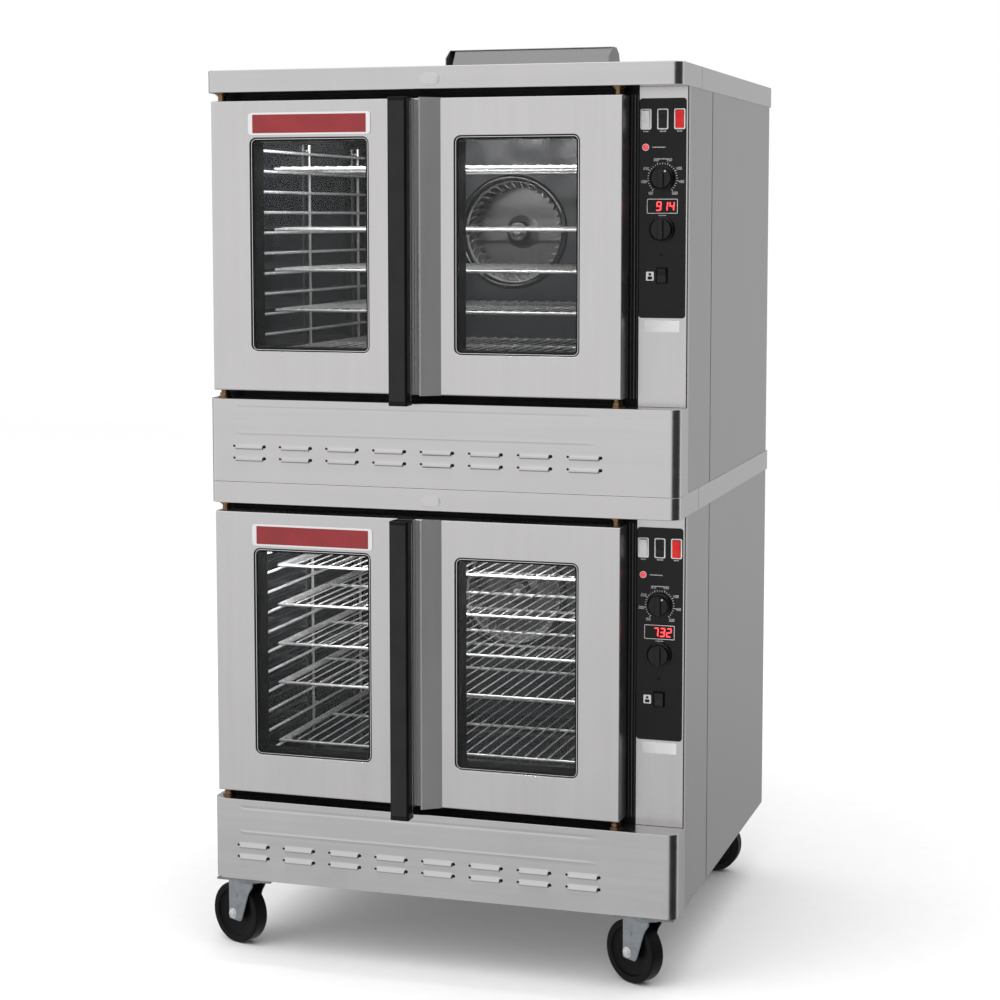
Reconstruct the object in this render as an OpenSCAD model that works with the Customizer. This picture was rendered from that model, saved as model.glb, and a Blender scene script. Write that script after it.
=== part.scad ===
// Double-stacked full-size gas convection oven on casters.
// Frame: origin on the floor under the centre of the bounding box, +X to the
// right of the doors' front, +Y towards the back, +Z up. Millimetres.

/* [Body] */
// Width of both ovens
body_w = 972; // [920:1:1060]
// Depth of both ovens, from the door fronts to the back of the trim
body_d = 918; // [880:1:1100]
// Height of one oven, with its top trim
section_h = 821; // [800:1:980]
// Height from the floor to the underside of the lower oven
base_z = 150; // [146:1:190]
// Height of the top trim band
trim_h = 44; // [36:1:60]
// Outside radius of the trim's and cover's upright corners
corner_r = 24; // [14:1:40]
// Gauge of the stainless sheet
sheet = 2; // [1.5:0.1:2.5]

/* [Cavity] */
// Width of the baking cavity
cavity_w = 737; // [640:1:760]
// Height of the baking cavity
cavity_h = 508; // [430:1:530]
// Depth of the baking cavity, from the front frame to the fan baffle
cavity_d = 616; // [520:1:640]
// Depth of the fan space behind the baffle
fan_space_d = 122; // [110:1:130]
// Thickness of the insulation blanket
blanket_t = 40; // [25:1:46]

/* [Doors] */
// Thickness of a door
door_t = 56; // [50:1:60]
// Gap between the two doors of an oven
door_gap = 3; // [2.4:0.1:6]
// Gap under and over the doors, where the hinge pins show
door_end_gap = 17; // [15:0.5:22]
// Gap between the left door and the side of the oven
door_side_gap = 12.5; // [10:0.5:20]
// Gap between the right door and the control fascia
fascia_gap = 18.5; // [12:0.5:30]
// Distance of the hinge axis from the outer edge of its door
hinge_inset = 13.5; // [13:0.5:16]
// Distance of the hinge axis behind the door's front face
hinge_depth = 25; // [22:0.5:28]
// Radius of a hinge pin
hinge_pin_r = 8; // [6:0.5:9]
// Width of the window's frame opening
window_w = 251; // [180:1:300]
// Height of the window's frame opening
window_h = 423; // [300:1:480]
// Corner radius of the window
window_r = 13; // [8:1:30]
// Thickness of a glass pane
pane_t = 3; // [2:0.5:5]

/* [Handle] */
// Width of the black grip
grip_w = 39.5; // [30:0.5:44]
// How far the grip stands out in front of the doors
grip_out = 50; // [44:1:60]
// Depth of the steel rail behind the grip
rail_out = 14; // [10:0.5:20]

/* [Cover] */
// Height of the louvred lower cover
cover_h = 167; // [160:1:185]
// Depth of the cover's side returns
cover_d = 72; // [68:1:74]
// Length of one louvre
louvre_w = 73; // [40:1:90]
// Distance from one louvre to the next across the cover
louvre_pitch = 99.5; // [92:0.5:110]
// Louvres in a row
louvre_count = 8; // [4:1:8]
// Outside radius of a louvre's raised half round
louvre_r = 5; // [3.5:0.5:8]

/* [Controls] */
// Width of the control fascia
fascia_w = 96; // [92:1:110]
// Width of the black faceplate
plate_w = 91; // [86:1:91]
// Height of the black faceplate
plate_h = 417; // [400:1:440]
// Radius of the temperature knob
temp_knob_r = 23.7; // [20:0.1:27]
// Radius of the timer knob
timer_knob_r = 24.5; // [20:0.1:27]
// Length of a knob
knob_l = 21; // [16:0.5:28]
// Width of a large rocker switch's bezel
rocker_w = 21.5; // [18:0.5:24]
// Height of a large rocker switch's bezel
rocker_h = 39; // [32:0.5:42]

/* [Racks] */
// Width of a wire rack
rack_w = 705; // [600:1:712]
// Depth of a wire rack, rail centre to rail centre
rack_d = 518; // [420:1:530]
// Radius of a rack's frame wire
rail_r = 3; // [2.5:0.1:4]
// Radius of a rack's thin wires
wire_r = 1.6; // [1:0.1:2]
// Height from one rack position to the next
rack_pitch = 41.3; // [38:0.1:42]
// Rack positions in each oven
rack_positions = 11; // [7:1:11]

/* [Casters] */
// Radius of a caster wheel
wheel_r = 63.5; // [60:0.5:64]
// Width of a caster wheel
wheel_w = 32; // [26:1:38]
// Distance of the axle from the swivel axis
trail = 36; // [30:1:40]
// Radius of the axle bolt
axle_r = 5; // [4:0.5:6]

/* [Hidden] */
$fn = 48;
// Smallest amount by which a cutter passes the face it cuts
eps = 1;
// Clearance of a shaft in its bore, on the radius
run_fit = 0.05;
// Clearance between pieces that slide or lie close to each other
gap = 0.3;

// How far the gas pipe and the power gland stand out of the back
rear_out = 19;
// The door fronts' plane: the model is centred on its bounding box in depth
front_y = -(grip_out + body_d + rear_out) / 2 + grip_out;
// Rest direction of each caster's trail, as a turn from -X
TURN_FL = -22;
TURN_FR = -30;
TURN_RL = -26;
TURN_RR = -4;
// How far a turned caster reaches to the left of its swivel axis
tread_r = 3;
function caster_reach(turn) = (trail + wheel_r - tread_r) * cos(turn)
    + (wheel_w / 2 - tread_r) * sin(abs(turn)) + tread_r;
// The ovens' middle: the left casters stand out past the left side
caster_x = body_w / 2 - 66;
left_reach = caster_x + max(caster_reach(TURN_FL), caster_reach(TURN_RL));
body_x = (left_reach - body_w / 2) / 2;

// Ovens: the lower one is 0 and the upper one is 1
LOWER = 0;
UPPER = 1;
top_z = section_h - trim_h;

// Doors and cavity, across
fascia_x0 = body_w / 2 - fascia_w;
doors_x0 = -body_w / 2 + door_side_gap;
doors_x1 = fascia_x0 - fascia_gap;
doors_cx = (doors_x0 + doors_x1) / 2;
door_w = (doors_x1 - doors_x0 - door_gap) / 2;
hinge_x = (doors_x1 - doors_x0) / 2 - hinge_inset;
// Doors and cavity, up
door_z0 = cover_h + door_end_gap;
door_z1 = top_z - door_end_gap;
door_h = door_z1 - door_z0;
door_cz = (door_z0 + door_z1) / 2;
cavity_z0 = door_cz - cavity_h / 2;
// The window sits a little outboard of and above the door's middle
window_shift = 1.5;
window_lift = 3.5;
window_cz = door_cz + window_lift;
// Width of the dark seat that each pane lies on
pane_seat = 7;
door_skin = 2;

// Front frame, liner and baffle, in depth from the door fronts
frame_y = door_t + 5;
frame_t = 3;
liner_y = frame_y + frame_t;
baffle_y = frame_y + cavity_d;
baffle_t = 3;
liner_back_y = baffle_y + baffle_t + fan_space_d;
blanket_back_y = liner_back_y + sheet + blanket_t;
liner_t = 2;

// Fan
fan_cz = door_cz + 26;
inlet_r = 120;
ring_w = 10;
ring_d = 15;
fan_shaft_r = 8;
wheel_y0 = baffle_y + ring_d + 5;
blower_d = 64;
blower_r = 122;
blade_w = 22;
blade_t = 2;
blade_count = 36;
motor_r = 58;
motor_l = 50;

// Cover and fascia
shell_x = body_w / 2;
side_in = 2;
cover_top_d = frame_y - 2;
fascia_y = frame_y - 2;
panel_y0 = cover_d + 3;
panel_seam_y = 282;
seam_w = 6;
lap_w = 12;
louvre_z = [48, 72];
// How far left of the ovens' middle the first louvre starts
louvre_side = 440;

// Hinges
bush_wall = 4;
bush_r = hinge_pin_r + bush_wall;
bush_flange_r = bush_r + 2;
bush_flange_t = 3;
bracket_t = 5;
bracket_z0 = cover_h - sheet - bracket_t;
top_bracket_z0 = top_z + sheet + 1;
sprocket_r = 16;
sprocket_t = 8;
chain_t = 5;
chain_h = 12;
chain_z0 = bracket_z0 - chain_h - 2;
chain_clear = 0.4;

// Handle and the wedge strip that faces it
grip_x1 = doors_cx + 7.5;
grip_y1 = -rail_out - 0.5;
grip_drop = 16;
rail_w = 37;
wedge_out = 25;

// Controls, from the faceplate's centre and bottom edge
plate_cx = body_w / 2 - 5 - plate_w / 2;
plate_z0 = 338;
plate_t = 1.5;
plate_y = fascia_y - plate_t;
plate_r = 6;
switch_cz = plate_z0 + 377.5;
switch_pitch = 32.8;
knob_cz = plate_z0 + 266;
timer_cz = plate_z0 + 169;
display_cz = plate_z0 + 213;
display_w = 60;
display_h = 28;
lamp_dz = 324.5;
lamp_r = 7;
fan_switch_cz = plate_z0 + 81.5;
small_rocker_w = 23;
small_rocker_h = 32;
knob_shaft_r = 3;
knob_gap = 1;
// Depth of a control's body behind the front frame's plane, and its end wall
pot_d = 14;
pot_wall = 2;
pot_r = 11;
bezel_t = 2.5;
bezel_w = 2.4;
rocker_out = 3;
rocker_in = 5;
rocker_tilt = 5;
rocker_clear = 0.6;
rocker_axis_y = plate_y + 2.5;

// Racks
rack_y0 = 152;
rack_z0 = cavity_z0 + 39;
thin_count = 28;
guide_r = 3;
guide_y0 = 78;
guide_y1 = 657;
guide_x = cavity_w / 2 - 6.5;
ledge_x = rack_w / 2 - rail_r - 2.5;
RACKS_UPPER = [0, 2, 4, 6, 9];
RACKS_LOWER = [0, 3, 5, 7, 9];

// Gas
gas_r = 13.3;
nipple_l = 25;
gas_x = 420;
gas_z = 75;
burner_r = 22;
burner_y0 = 112;
burner_y1 = 620;
manifold_r = 11;
burner_z = 95;
// Power inlet
gland_r = 12;
gland_bore_r = 6;
gland_x = 340;
gland_z = 60;
gland_l = 24;

// Casters
plate_th = 4;
caster_plate = [118, 90, plate_th];
caster_front_y = 44;
caster_rear_y = body_d - 78;
swivel_r = 6;
race_r = 30;
race_t = 5;
crown_t = 6;
leg_t = 4;
leg_gap = 2.5;
axle_head = 5;
race_z = base_z - plate_th - race_t;

// Flue hood
hood_w = 388;
hood_y = 785;
hood_front_h = 57;
HOOD_EDGE = [[0, 0], [0, 73], [32, 93], [66, 93], [89, 80], [96, 62], [96, 0]];
HOOD_INNER = [[-eps, 57], [-eps, 95], [32, 91], [65.4, 91], [87.5, 78.5], [94, 61.6], [94, -eps],
    [2, -eps], [2, 57]];
duct_w = 100;
duct_d = 28;
duct_h = 60;
// How far the ducts' middles lie left and right of the doors' middle
duct_off = 140;
duct_y = blanket_back_y + 6;
duct_z = door_cz + 140;
// The lower oven's duct runs up on the left, the upper oven's on the right
function duct_side(level) = level == LOWER ? -1 : 1;

// --- Helpers -------------------------------------------------------------

// Moves its children from the door fronts' plane to the model's frame
module from_front() {
    translate([body_x, front_y, 0]) children();
}

// Its children in one oven only
module in_oven(level) {
    from_front() translate([0, 0, base_z + level * section_h]) children();
}

// One copy of its children in each oven
module each_oven() {
    for (level = [LOWER, UPPER]) in_oven(level) children();
}

// A box given by its lowest and highest corners
module span(low, high) {
    translate(low) cube(high - low);
}

// An upright cylinder turned to lie along +X
module along_x(r, l) {
    rotate([0, 90, 0]) cylinder(r = r, h = l);
}

// An upright cylinder turned to lie along +Y
module along_y(r, l) {
    rotate([-90, 0, 0]) cylinder(r = r, h = l);
}

// Its children on one hinge axis, -1 left or 1 right, at height z
module at_hinge(side, z) {
    translate([doors_cx + side * hinge_x, hinge_depth, z]) children();
}

// A rectangle with round corners, centred
module round_rect(w, h, r) {
    union() {
        square([w - 2 * r, h], center = true);
        square([w, h - 2 * r], center = true);
        for (x = [-1, 1], y = [-1, 1]) translate([x * (w / 2 - r), y * (h / 2 - r)]) circle(r);
    }
}

// An upright panel with round corners, its front face at y
module round_panel(cx, cz, y, w, h, r, t) {
    translate([cx, y + t, cz]) rotate([90, 0, 0]) linear_extrude(t) round_rect(w, h, r);
}

// The plan of a shell with round front corners, from the front face back to depth d
module shell_plan(w, d, r) {
    union() {
        translate([-w / 2, r]) square([w, d - r]);
        translate([-w / 2 + r, 0]) square([w - 2 * r, r]);
        for (x = [-1, 1]) translate([x * (w / 2 - r), r]) circle(r);
    }
}

// --- Frame and casing ----------------------------------------------------

module caster_places() {
    for (x = [-caster_x, caster_x], y = [caster_front_y, caster_rear_y]) translate([x, y, 0]) children();
}

module caster_plate_and_pin() {
    nut_r = 9;
    nut_t = 6;
    translate([-caster_plate.x / 2, -caster_plate.y / 2, base_z - plate_th]) cube(caster_plate);
    translate([0, 0, race_z]) cylinder(r = race_r, h = race_t + eps);
    translate([0, 0, race_z - gap - crown_t - gap - nut_t]) cylinder(r = nut_r, h = nut_t);
    translate([0, 0, race_z - gap - crown_t - gap - nut_t]) cylinder(r = swivel_r, h = crown_t + 2 * nut_t);
}

module base_frame() {
    rail_h = 38;
    side_x = body_w / 2 - 8;
    front_x = body_w / 2 - corner_r;
    side_rail_w = 52;
    rail_cx = side_x - side_rail_w / 2;
    z0 = base_z + sheet;
    color("dimgray") from_front() {
        caster_places() caster_plate_and_pin();
        span([-front_x, 2 * sheet, base_z], [front_x, frame_y, base_z + rail_h]);
        for (x = [-1, 1])
            span([x * rail_cx - side_rail_w / 2, liner_y + 1, z0],
                [x * rail_cx + side_rail_w / 2, body_d - 20, z0 + rail_h]);
        span([-rail_cx, body_d - 118, z0], [rail_cx, body_d - 40, z0 + rail_h]);
    }
}

// One side of one oven: a front strip, and a longer sheet lapped behind its seam
module side_sheets() {
    x1 = shell_x - side_in;
    x0 = x1 - sheet;
    seam_y1 = panel_seam_y + seam_w;
    h = top_z + trim_h / 2;
    span([x0, panel_y0, 0], [x1, panel_seam_y, h]);
    span([x0, seam_y1, 0], [x1, body_d - 10, h]);
    span([x0 - sheet, panel_seam_y - lap_w, sheet + gap], [x0, seam_y1 + lap_w, h]);
}

module side_panels() {
    color("darkgray") each_oven() {
        side_sheets();
        mirror([1, 0, 0]) side_sheets();
    }
}

module back_and_floor_pans() {
    x1 = shell_x - side_in - sheet;
    back_y = body_d - 12;
    slot = [8, 60];
    color("darkgray") for (level = [LOWER, UPPER]) in_oven(level) difference() {
        union() {
            span([-x1, frame_y, 0], [x1, back_y, sheet]);
            span([-x1, back_y, 0], [x1, back_y + sheet, top_z + trim_h / 2]);
            translate([gland_x, back_y, gland_z]) along_y(gland_r, gland_l);
        }
        for (i = [-9:9], j = [-1, 1])
            span([doors_cx + i * 16 - slot.x / 2, back_y - eps, fan_cz + j * 50 - slot.y / 2],
                [doors_cx + i * 16 + slot.x / 2, back_y + sheet + eps, fan_cz + j * 50 + slot.y / 2]);
        translate([gas_x, back_y - eps, gas_z]) along_y(gas_r + 1, sheet + 2 * eps);
        translate([gland_x, back_y - eps, gland_z]) along_y(gland_bore_r, gland_l + 2 * eps);
        if (level == UPPER) duct_space(-1, gap, -eps, sheet + eps);
    }
}

// The tray that closes the top of an oven and shows as a band round it
module top_trims() {
    seam = 1.2;
    seam_y = panel_seam_y - 110;
    color("gainsboro") for (level = [LOWER, UPPER]) in_oven(level) difference() {
        translate([0, 0, top_z]) linear_extrude(trim_h) shell_plan(body_w, body_d, corner_r);
        translate([0, sheet, top_z + sheet]) linear_extrude(trim_h - 2 * sheet)
            shell_plan(body_w - 2 * sheet, body_d - 2 * sheet, corner_r - sheet);
        span([-shell_x + sheet, frame_y - gap, top_z - eps],
            [shell_x - sheet, body_d - sheet, top_z + 2 * sheet]);
        for (x = [-1, 1]) {
            at_hinge(x, top_z - eps) cylinder(r = bush_r + gap, h = sheet + 2 * eps);
            span([x * shell_x - seam, seam_y, top_z - eps],
                [x * shell_x + seam, seam_y + 1, section_h + eps]);
        }
        duct_space(-1, gap, section_h - sheet - eps, section_h + eps);
        if (level == UPPER) duct_space(1, gap, section_h - sheet - eps, section_h + eps);
    }
}

// The upright space of one flue duct: the lower oven's on the left, the upper's on the right
module duct_space(side, grow, z0, z1) {
    cx = doors_cx + side * duct_off;
    span([cx - duct_w / 2 - grow, duct_y - grow, z0], [cx + duct_w / 2 + grow, duct_y + duct_d + grow, z1]);
}

// The level stretch of a flue duct, from inside the liner to the upright
module duct_mouth(side, grow, y0, y1) {
    cx = doors_cx + side * duct_off;
    span([cx - duct_w / 2 - grow, y0, duct_z - grow], [cx + duct_w / 2 + grow, y1, duct_z + duct_h + grow]);
}

// One oven's duct: level through the blanket, then up to the hood
module flue_duct(level) {
    side = duct_side(level);
    top = (2 - level) * section_h - sheet;
    in_oven(level) difference() {
        union() {
            duct_mouth(side, 0, liner_back_y, duct_y + 1);
            duct_space(side, 0, duct_z, top + sheet);
        }
        duct_mouth(side, -1.5, liner_back_y - eps, duct_y + 2);
        duct_space(side, -1.5, duct_z + 1.5, top + sheet + eps);
    }
}

// --- Oven chamber ----------------------------------------------------------

module cavity_space(grow, y0, y1) {
    span([doors_cx - cavity_w / 2 - grow, y0, cavity_z0 - grow],
        [doors_cx + cavity_w / 2 + grow, y1, cavity_z0 + cavity_h + grow]);
}

module hinge_bracket(side, z) {
    cx = doors_cx + side * (hinge_x - 2);
    span([cx - 18, hinge_depth - 14, z], [cx + 18, frame_y + eps, z + bracket_t]);
}

module front_frames() {
    x1 = shell_x - side_in - sheet;
    flange_d = 26;
    pocket = [84, 422];
    gasket = 6;
    color([0.08, 0.08, 0.09]) each_oven() difference() {
        union() {
            span([-x1, frame_y, sheet], [x1, liner_y, top_z + sheet + 8]);
            for (x = [-1, 1]) {
                span([x * (x1 - sheet / 2) - sheet / 2, frame_y, sheet],
                    [x * (x1 - sheet / 2) + sheet / 2, frame_y + flange_d, top_z + 6]);
                for (z = [bracket_z0, top_bracket_z0]) hinge_bracket(x, z);
            }
            cavity_space(gasket, frame_y - 3, liner_y);
        }
        cavity_space(0, frame_y - 3 - eps, liner_y + eps);
        span([plate_cx - pocket.x / 2, frame_y - eps, plate_z0 - 2],
            [plate_cx + pocket.x / 2, liner_y + eps, plate_z0 + pocket.y]);
        for (x = [-1, 1], z = [bracket_z0, top_bracket_z0])
            at_hinge(x, z - eps) cylinder(r = bush_r, h = bracket_t + 2 * eps);
    }
}

module oven_liners() {
    color([0.2, 0.2, 0.22]) for (level = [LOWER, UPPER]) in_oven(level) difference() {
        cavity_space(liner_t, liner_y, liner_back_y + liner_t);
        cavity_space(0, liner_y - eps, liner_back_y);
        translate([doors_cx, liner_back_y - eps, fan_cz]) along_y(fan_shaft_r + 4, liner_t + 2 * eps);
        duct_mouth(duct_side(level), gap, liner_back_y - eps, liner_back_y + liner_t + eps);
    }
}

module insulation() {
    color([0.85, 0.8, 0.55]) for (level = [LOWER, UPPER]) in_oven(level) difference() {
        cavity_space(liner_t + blanket_t, liner_y, blanket_back_y);
        cavity_space(liner_t, liner_y - eps, liner_back_y + liner_t);
        translate([doors_cx, liner_back_y, fan_cz]) along_y(fan_shaft_r + 12, blanket_t + 2 * liner_t);
        duct_mouth(duct_side(level), gap, liner_back_y, blanket_back_y + eps);
    }
}

// One side's wireform: three uprights with hooks on the wall, and a ledge for each rack position
module guide_wires() {
    z_low = rack_z0 - 26;
    z_high = rack_z0 + (rack_positions - 1) * rack_pitch + 14;
    for (y = [guide_y0, (guide_y0 + guide_y1) / 2, guide_y1]) {
        translate([guide_x, y, z_low]) cylinder(r = guide_r, h = z_high - z_low);
        for (z = [z_low + 12, z_high - 12])
            translate([guide_x, y, z]) along_x(guide_r - 0.4, cavity_w / 2 - guide_x);
    }
    for (i = [0:rack_positions - 1]) {
        z = rack_z0 + i * rack_pitch - rail_r - guide_r - gap;
        translate([ledge_x, guide_y0 - guide_r, z]) along_y(guide_r, guide_y1 - guide_y0 + 2 * guide_r);
        for (y = [guide_y0, (guide_y0 + guide_y1) / 2, guide_y1])
            translate([ledge_x, y, z]) along_x(guide_r - 0.4, guide_x - ledge_x);
    }
}

module rack_guides() {
    color("silver") each_oven() translate([doors_cx, 0, 0]) {
        guide_wires();
        mirror([1, 0, 0]) guide_wires();
    }
}

module fan_baffles() {
    side_slot = 34;
    clip_w = 16;
    clip_x = cavity_w / 2 - side_slot - clip_w / 2;
    color([0.3, 0.3, 0.33]) each_oven() {
        difference() {
            union() {
                span([doors_cx - cavity_w / 2 + side_slot, baffle_y, cavity_z0 + gap],
                    [doors_cx + cavity_w / 2 - side_slot, baffle_y + baffle_t, cavity_z0 + cavity_h - gap]);
                for (x = [-1, 1], z = [0.2, 0.8])
                    translate([doors_cx + x * clip_x - clip_w / 2, baffle_y + 1, cavity_z0 + z * cavity_h])
                        cube([clip_w, liner_back_y - baffle_y - 1, 12]);
                translate([doors_cx, baffle_y, fan_cz]) along_y(inlet_r + ring_w, ring_d);
            }
            translate([doors_cx, baffle_y - eps, fan_cz]) along_y(inlet_r - 6, ring_d + 2 * eps);
            translate([doors_cx, baffle_y + baffle_t, fan_cz]) rotate([-90, 0, 0]) difference() {
                cylinder(r = inlet_r + ring_w + eps, h = ring_d);
                translate([0, 0, -eps]) cylinder(r = inlet_r - 4, h = ring_d + 2 * eps);
            }
        }
    }
}

// A squirrel-cage wheel with its shaft
module blower_wheel() {
    hub_r = 22;
    rim = 3;
    hub_z = 18;
    shaft_z = 12;
    shaft_in = 20;
    color("silver") translate([doors_cx, wheel_y0, fan_cz]) rotate([-90, 0, 0]) {
        difference() {
            union() {
                translate([0, 0, blower_d - 3]) cylinder(r = blower_r, h = 3);
                cylinder(r = blower_r, h = rim);
                linear_extrude(blower_d) for (i = [0:blade_count - 1])
                    rotate(i * 360 / blade_count) translate([blower_r - blade_w - 1, 0]) rotate(24)
                        square([blade_w - 1, blade_t]);
            }
            translate([0, 0, -eps]) cylinder(r = blower_r - 12, h = rim + 2 * eps - 0.5);
        }
        translate([0, 0, hub_z]) cylinder(r = hub_r, h = blower_d - hub_z);
        translate([0, 0, shaft_z])
            cylinder(r = fan_shaft_r, h = blanket_back_y + shaft_in - wheel_y0 - shaft_z);
    }
}

module blower_motors() {
    mount = 150;
    fin = 4;
    bore_l = 24;
    color("slategray") each_oven() translate([doors_cx, blanket_back_y, fan_cz]) difference() {
        union() {
            span([-mount / 2, 0, -mount / 2], [mount / 2, 4, mount / 2]);
            along_y(motor_r, motor_l);
            for (a = [0:30:150]) rotate([0, a, 0])
                span([-motor_r - fin, 6, -1.5], [motor_r + fin, motor_l - 6, 1.5]);
        }
        translate([0, -eps, 0]) along_y(fan_shaft_r + run_fit, bore_l + eps);
    }
}

// Three burner tubes on a manifold, the gas valve, and the supply pipe that leaves at the back
module gas_burners() {
    valve = [90, 70, 60];
    valve_y = liner_y + 12;
    pipe_y = valve_y + valve.y - eps;
    nipple_y = body_d + rear_out - nipple_l;
    foot = 12;
    color("goldenrod") each_oven() {
        for (i = [-1:1]) {
            x = doors_cx + i * 190;
            difference() {
                translate([x, burner_y0, burner_z]) along_y(burner_r, burner_y1 - burner_y0);
                translate([x, burner_y0 - eps, burner_z]) along_y(burner_r - 2, burner_y1 - burner_y0 - 4);
            }
            translate([x, manifold_y(), burner_z]) along_y(4, burner_y0 - manifold_y() + 8);
            for (y = [burner_y0 + 60, burner_y1 - 60])
                span([x - foot / 2, y, sheet], [x + foot / 2, y + 3, burner_z - burner_r + 4]);
            span([x - burner_r, burner_y0 + 6, burner_z - 5], [x + burner_r, burner_y0 + 10, burner_z + 5]);
        }
        translate([doors_cx - 210, manifold_y(), burner_z]) along_x(manifold_r, gas_x - doors_cx + 170);
        translate([gas_x - valve.x / 2, valve_y, gas_z - valve.z / 2]) cube(valve);
        translate([gas_x, pipe_y, gas_z]) along_y(gas_r - 0.6, nipple_y - pipe_y + 1);
        translate([gas_x, nipple_y, gas_z]) along_y(gas_r, nipple_l);
    }
}

// The manifold's place behind the front frame
function manifold_y() = liner_y + 26;

// --- Front -----------------------------------------------------------------

module louvre_ridge() {
    along_x(louvre_r, louvre_w);
}

module louvre_bore() {
    translate([-eps, 0, 0]) along_x(louvre_r - 1.4, louvre_w + 2 * eps);
}

module louvre_places() {
    for (i = [0:louvre_count - 1], z = louvre_z)
        translate([-louvre_side + i * louvre_pitch, 0.6, z]) children();
}

module louvre_covers() {
    color("gainsboro") each_oven() difference() {
        union() {
            difference() {
                linear_extrude(cover_h) shell_plan(body_w, cover_d, corner_r);
                translate([0, sheet, -eps]) linear_extrude(cover_h - sheet + eps)
                    shell_plan(body_w - 2 * sheet, cover_d, corner_r - sheet);
                span([-shell_x + sheet, cover_top_d, -eps], [shell_x - sheet, cover_d + eps, cover_h + eps]);
            }
            louvre_places() louvre_ridge();
        }
        louvre_places() louvre_bore();
        for (x = [-1, 1])
            at_hinge(x, cover_h - sheet - eps) cylinder(r = bush_r + gap, h = sheet + 2 * eps);
    }
}

module control_fascias() {
    fold_r = side_in + sheet;
    z0 = cover_h + gap;
    z1 = top_z - gap;
    color("gainsboro") each_oven() difference() {
        union() {
            span([fascia_x0, fascia_y, z0], [shell_x - fold_r, frame_y, z1]);
            span([shell_x - side_in, fascia_y + fold_r, z0], [shell_x, cover_d, z1]);
            translate([shell_x - fold_r, fascia_y + fold_r, z0]) intersection() {
                difference() {
                    cylinder(r = fold_r, h = z1 - z0);
                    translate([0, 0, -eps]) cylinder(r = fold_r - sheet, h = z1 - z0 + 2 * eps);
                }
                span([0, -fold_r - eps, -eps], [fold_r + eps, 0, z1 - z0 + eps]);
            }
        }
        control_holes(fascia_y - eps, frame_y + eps);
    }
}

// The holes for switches, shafts and lamp, from depth y0 to y1
module control_holes(y0, y1) {
    for (i = [-1:1]) rocker_hole(plate_cx + i * switch_pitch, switch_cz, rocker_w, rocker_h, y0, y1);
    rocker_hole(plate_cx, fan_switch_cz, small_rocker_w, small_rocker_h, y0, y1);
    for (z = [knob_cz, timer_cz]) translate([plate_cx, y0, z]) along_y(knob_shaft_r + run_fit, y1 - y0);
}

module rocker_hole(cx, cz, w, h, y0, y1) {
    inner_w = w - 2 * bezel_w;
    inner_h = h - 2 * bezel_w;
    span([cx - inner_w / 2, y0, cz - inner_h / 2], [cx + inner_w / 2, y1, cz + inner_h / 2]);
}

module bezel(cx, cz, w, h) {
    round_panel(cx, cz, plate_y - bezel_t, w, h, 3, bezel_t + 0.5);
}

module control_faceplates() {
    color([0.06, 0.06, 0.07]) each_oven() {
        difference() {
            union() {
                round_panel(plate_cx, plate_z0 + plate_h / 2, plate_y, plate_w, plate_h, plate_r, plate_t);
                for (i = [-1:1]) bezel(plate_cx + i * switch_pitch, switch_cz, rocker_w, rocker_h);
                bezel(plate_cx, fan_switch_cz, small_rocker_w, small_rocker_h);
            }
            control_holes(plate_y - bezel_t - eps, fascia_y + eps);
        }
        for (z = [knob_cz, timer_cz]) difference() {
            translate([plate_cx, frame_y, z]) along_y(pot_r, pot_d);
            translate([plate_cx, frame_y - eps, z]) along_y(knob_shaft_r + run_fit, pot_d - pot_wall + eps);
        }
    }
}

module displays_and_lamps() {
    lens_t = 1.2;
    color([0.5, 0.05, 0.05]) each_oven() {
        round_panel(plate_cx, display_cz, plate_y - lens_t, display_w, display_h, 2, lens_t);
        translate([plate_cx - switch_pitch, plate_y, plate_z0 + lamp_dz]) rotate([90, 0, 0]) {
            cylinder(r = lamp_r, h = 2);
            intersection() {
                translate([0, 0, -4]) sphere(r = lamp_r + 2);
                cylinder(r = lamp_r - 1, h = 8);
            }
        }
    }
}

// A knob with a skirt, a raised finger bar and its shaft, centred on its own axis
module knob(r) {
    skirt = 6;
    bar = 12;
    shaft_l = frame_y + pot_d - pot_wall - 1 - plate_y;
    color([0.05, 0.05, 0.05]) rotate([90, 0, 0]) {
        translate([0, 0, knob_gap]) cylinder(r = r, h = skirt);
        translate([0, 0, knob_gap]) cylinder(r = r - 3, h = knob_l - 5);
        translate([0, 0, knob_gap]) intersection() {
            translate([-bar / 2, -r + 2, 0]) cube([bar, 2 * r - 4, knob_l - knob_gap]);
            cylinder(r = r - 2, h = knob_l);
        }
        translate([0, 0, -shaft_l]) cylinder(r = knob_shaft_r, h = shaft_l + 2 * knob_gap);
    }
}

module knob_at(level, cz, r) {
    in_oven(level) translate([plate_cx, plate_y, cz]) knob(r);
}

// A rocker that tilts about X, drawn tipped to its off side
module rocker(level, cx, cz, w, h, tint) {
    rw = w - 2 * bezel_w - 2 * rocker_clear;
    rh = h - 2 * bezel_w - 2 * rocker_clear;
    y0 = plate_y - bezel_t - rocker_out - rocker_axis_y;
    y1 = rocker_in;
    color(tint) in_oven(level) translate([cx, rocker_axis_y, cz]) rotate([rocker_tilt, 0, 0]) difference() {
        span([-rw / 2, y0, -rh / 2], [rw / 2, y1, rh / 2]);
        translate([-rw / 2 - eps, y0 - 34, 0]) along_x(35, rw + 2 * eps);
    }
}

// A rocker of the top row: place is -1, 0 or 1 from left to right
module top_rocker(level, place, tint) {
    rocker(level, plate_cx + place * switch_pitch, switch_cz, rocker_w, rocker_h, tint);
}

module low_rocker(level) {
    rocker(level, plate_cx, fan_switch_cz, small_rocker_w, small_rocker_h, "black");
}

// --- Hinges and the chain that opens both doors together ---------------------

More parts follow.
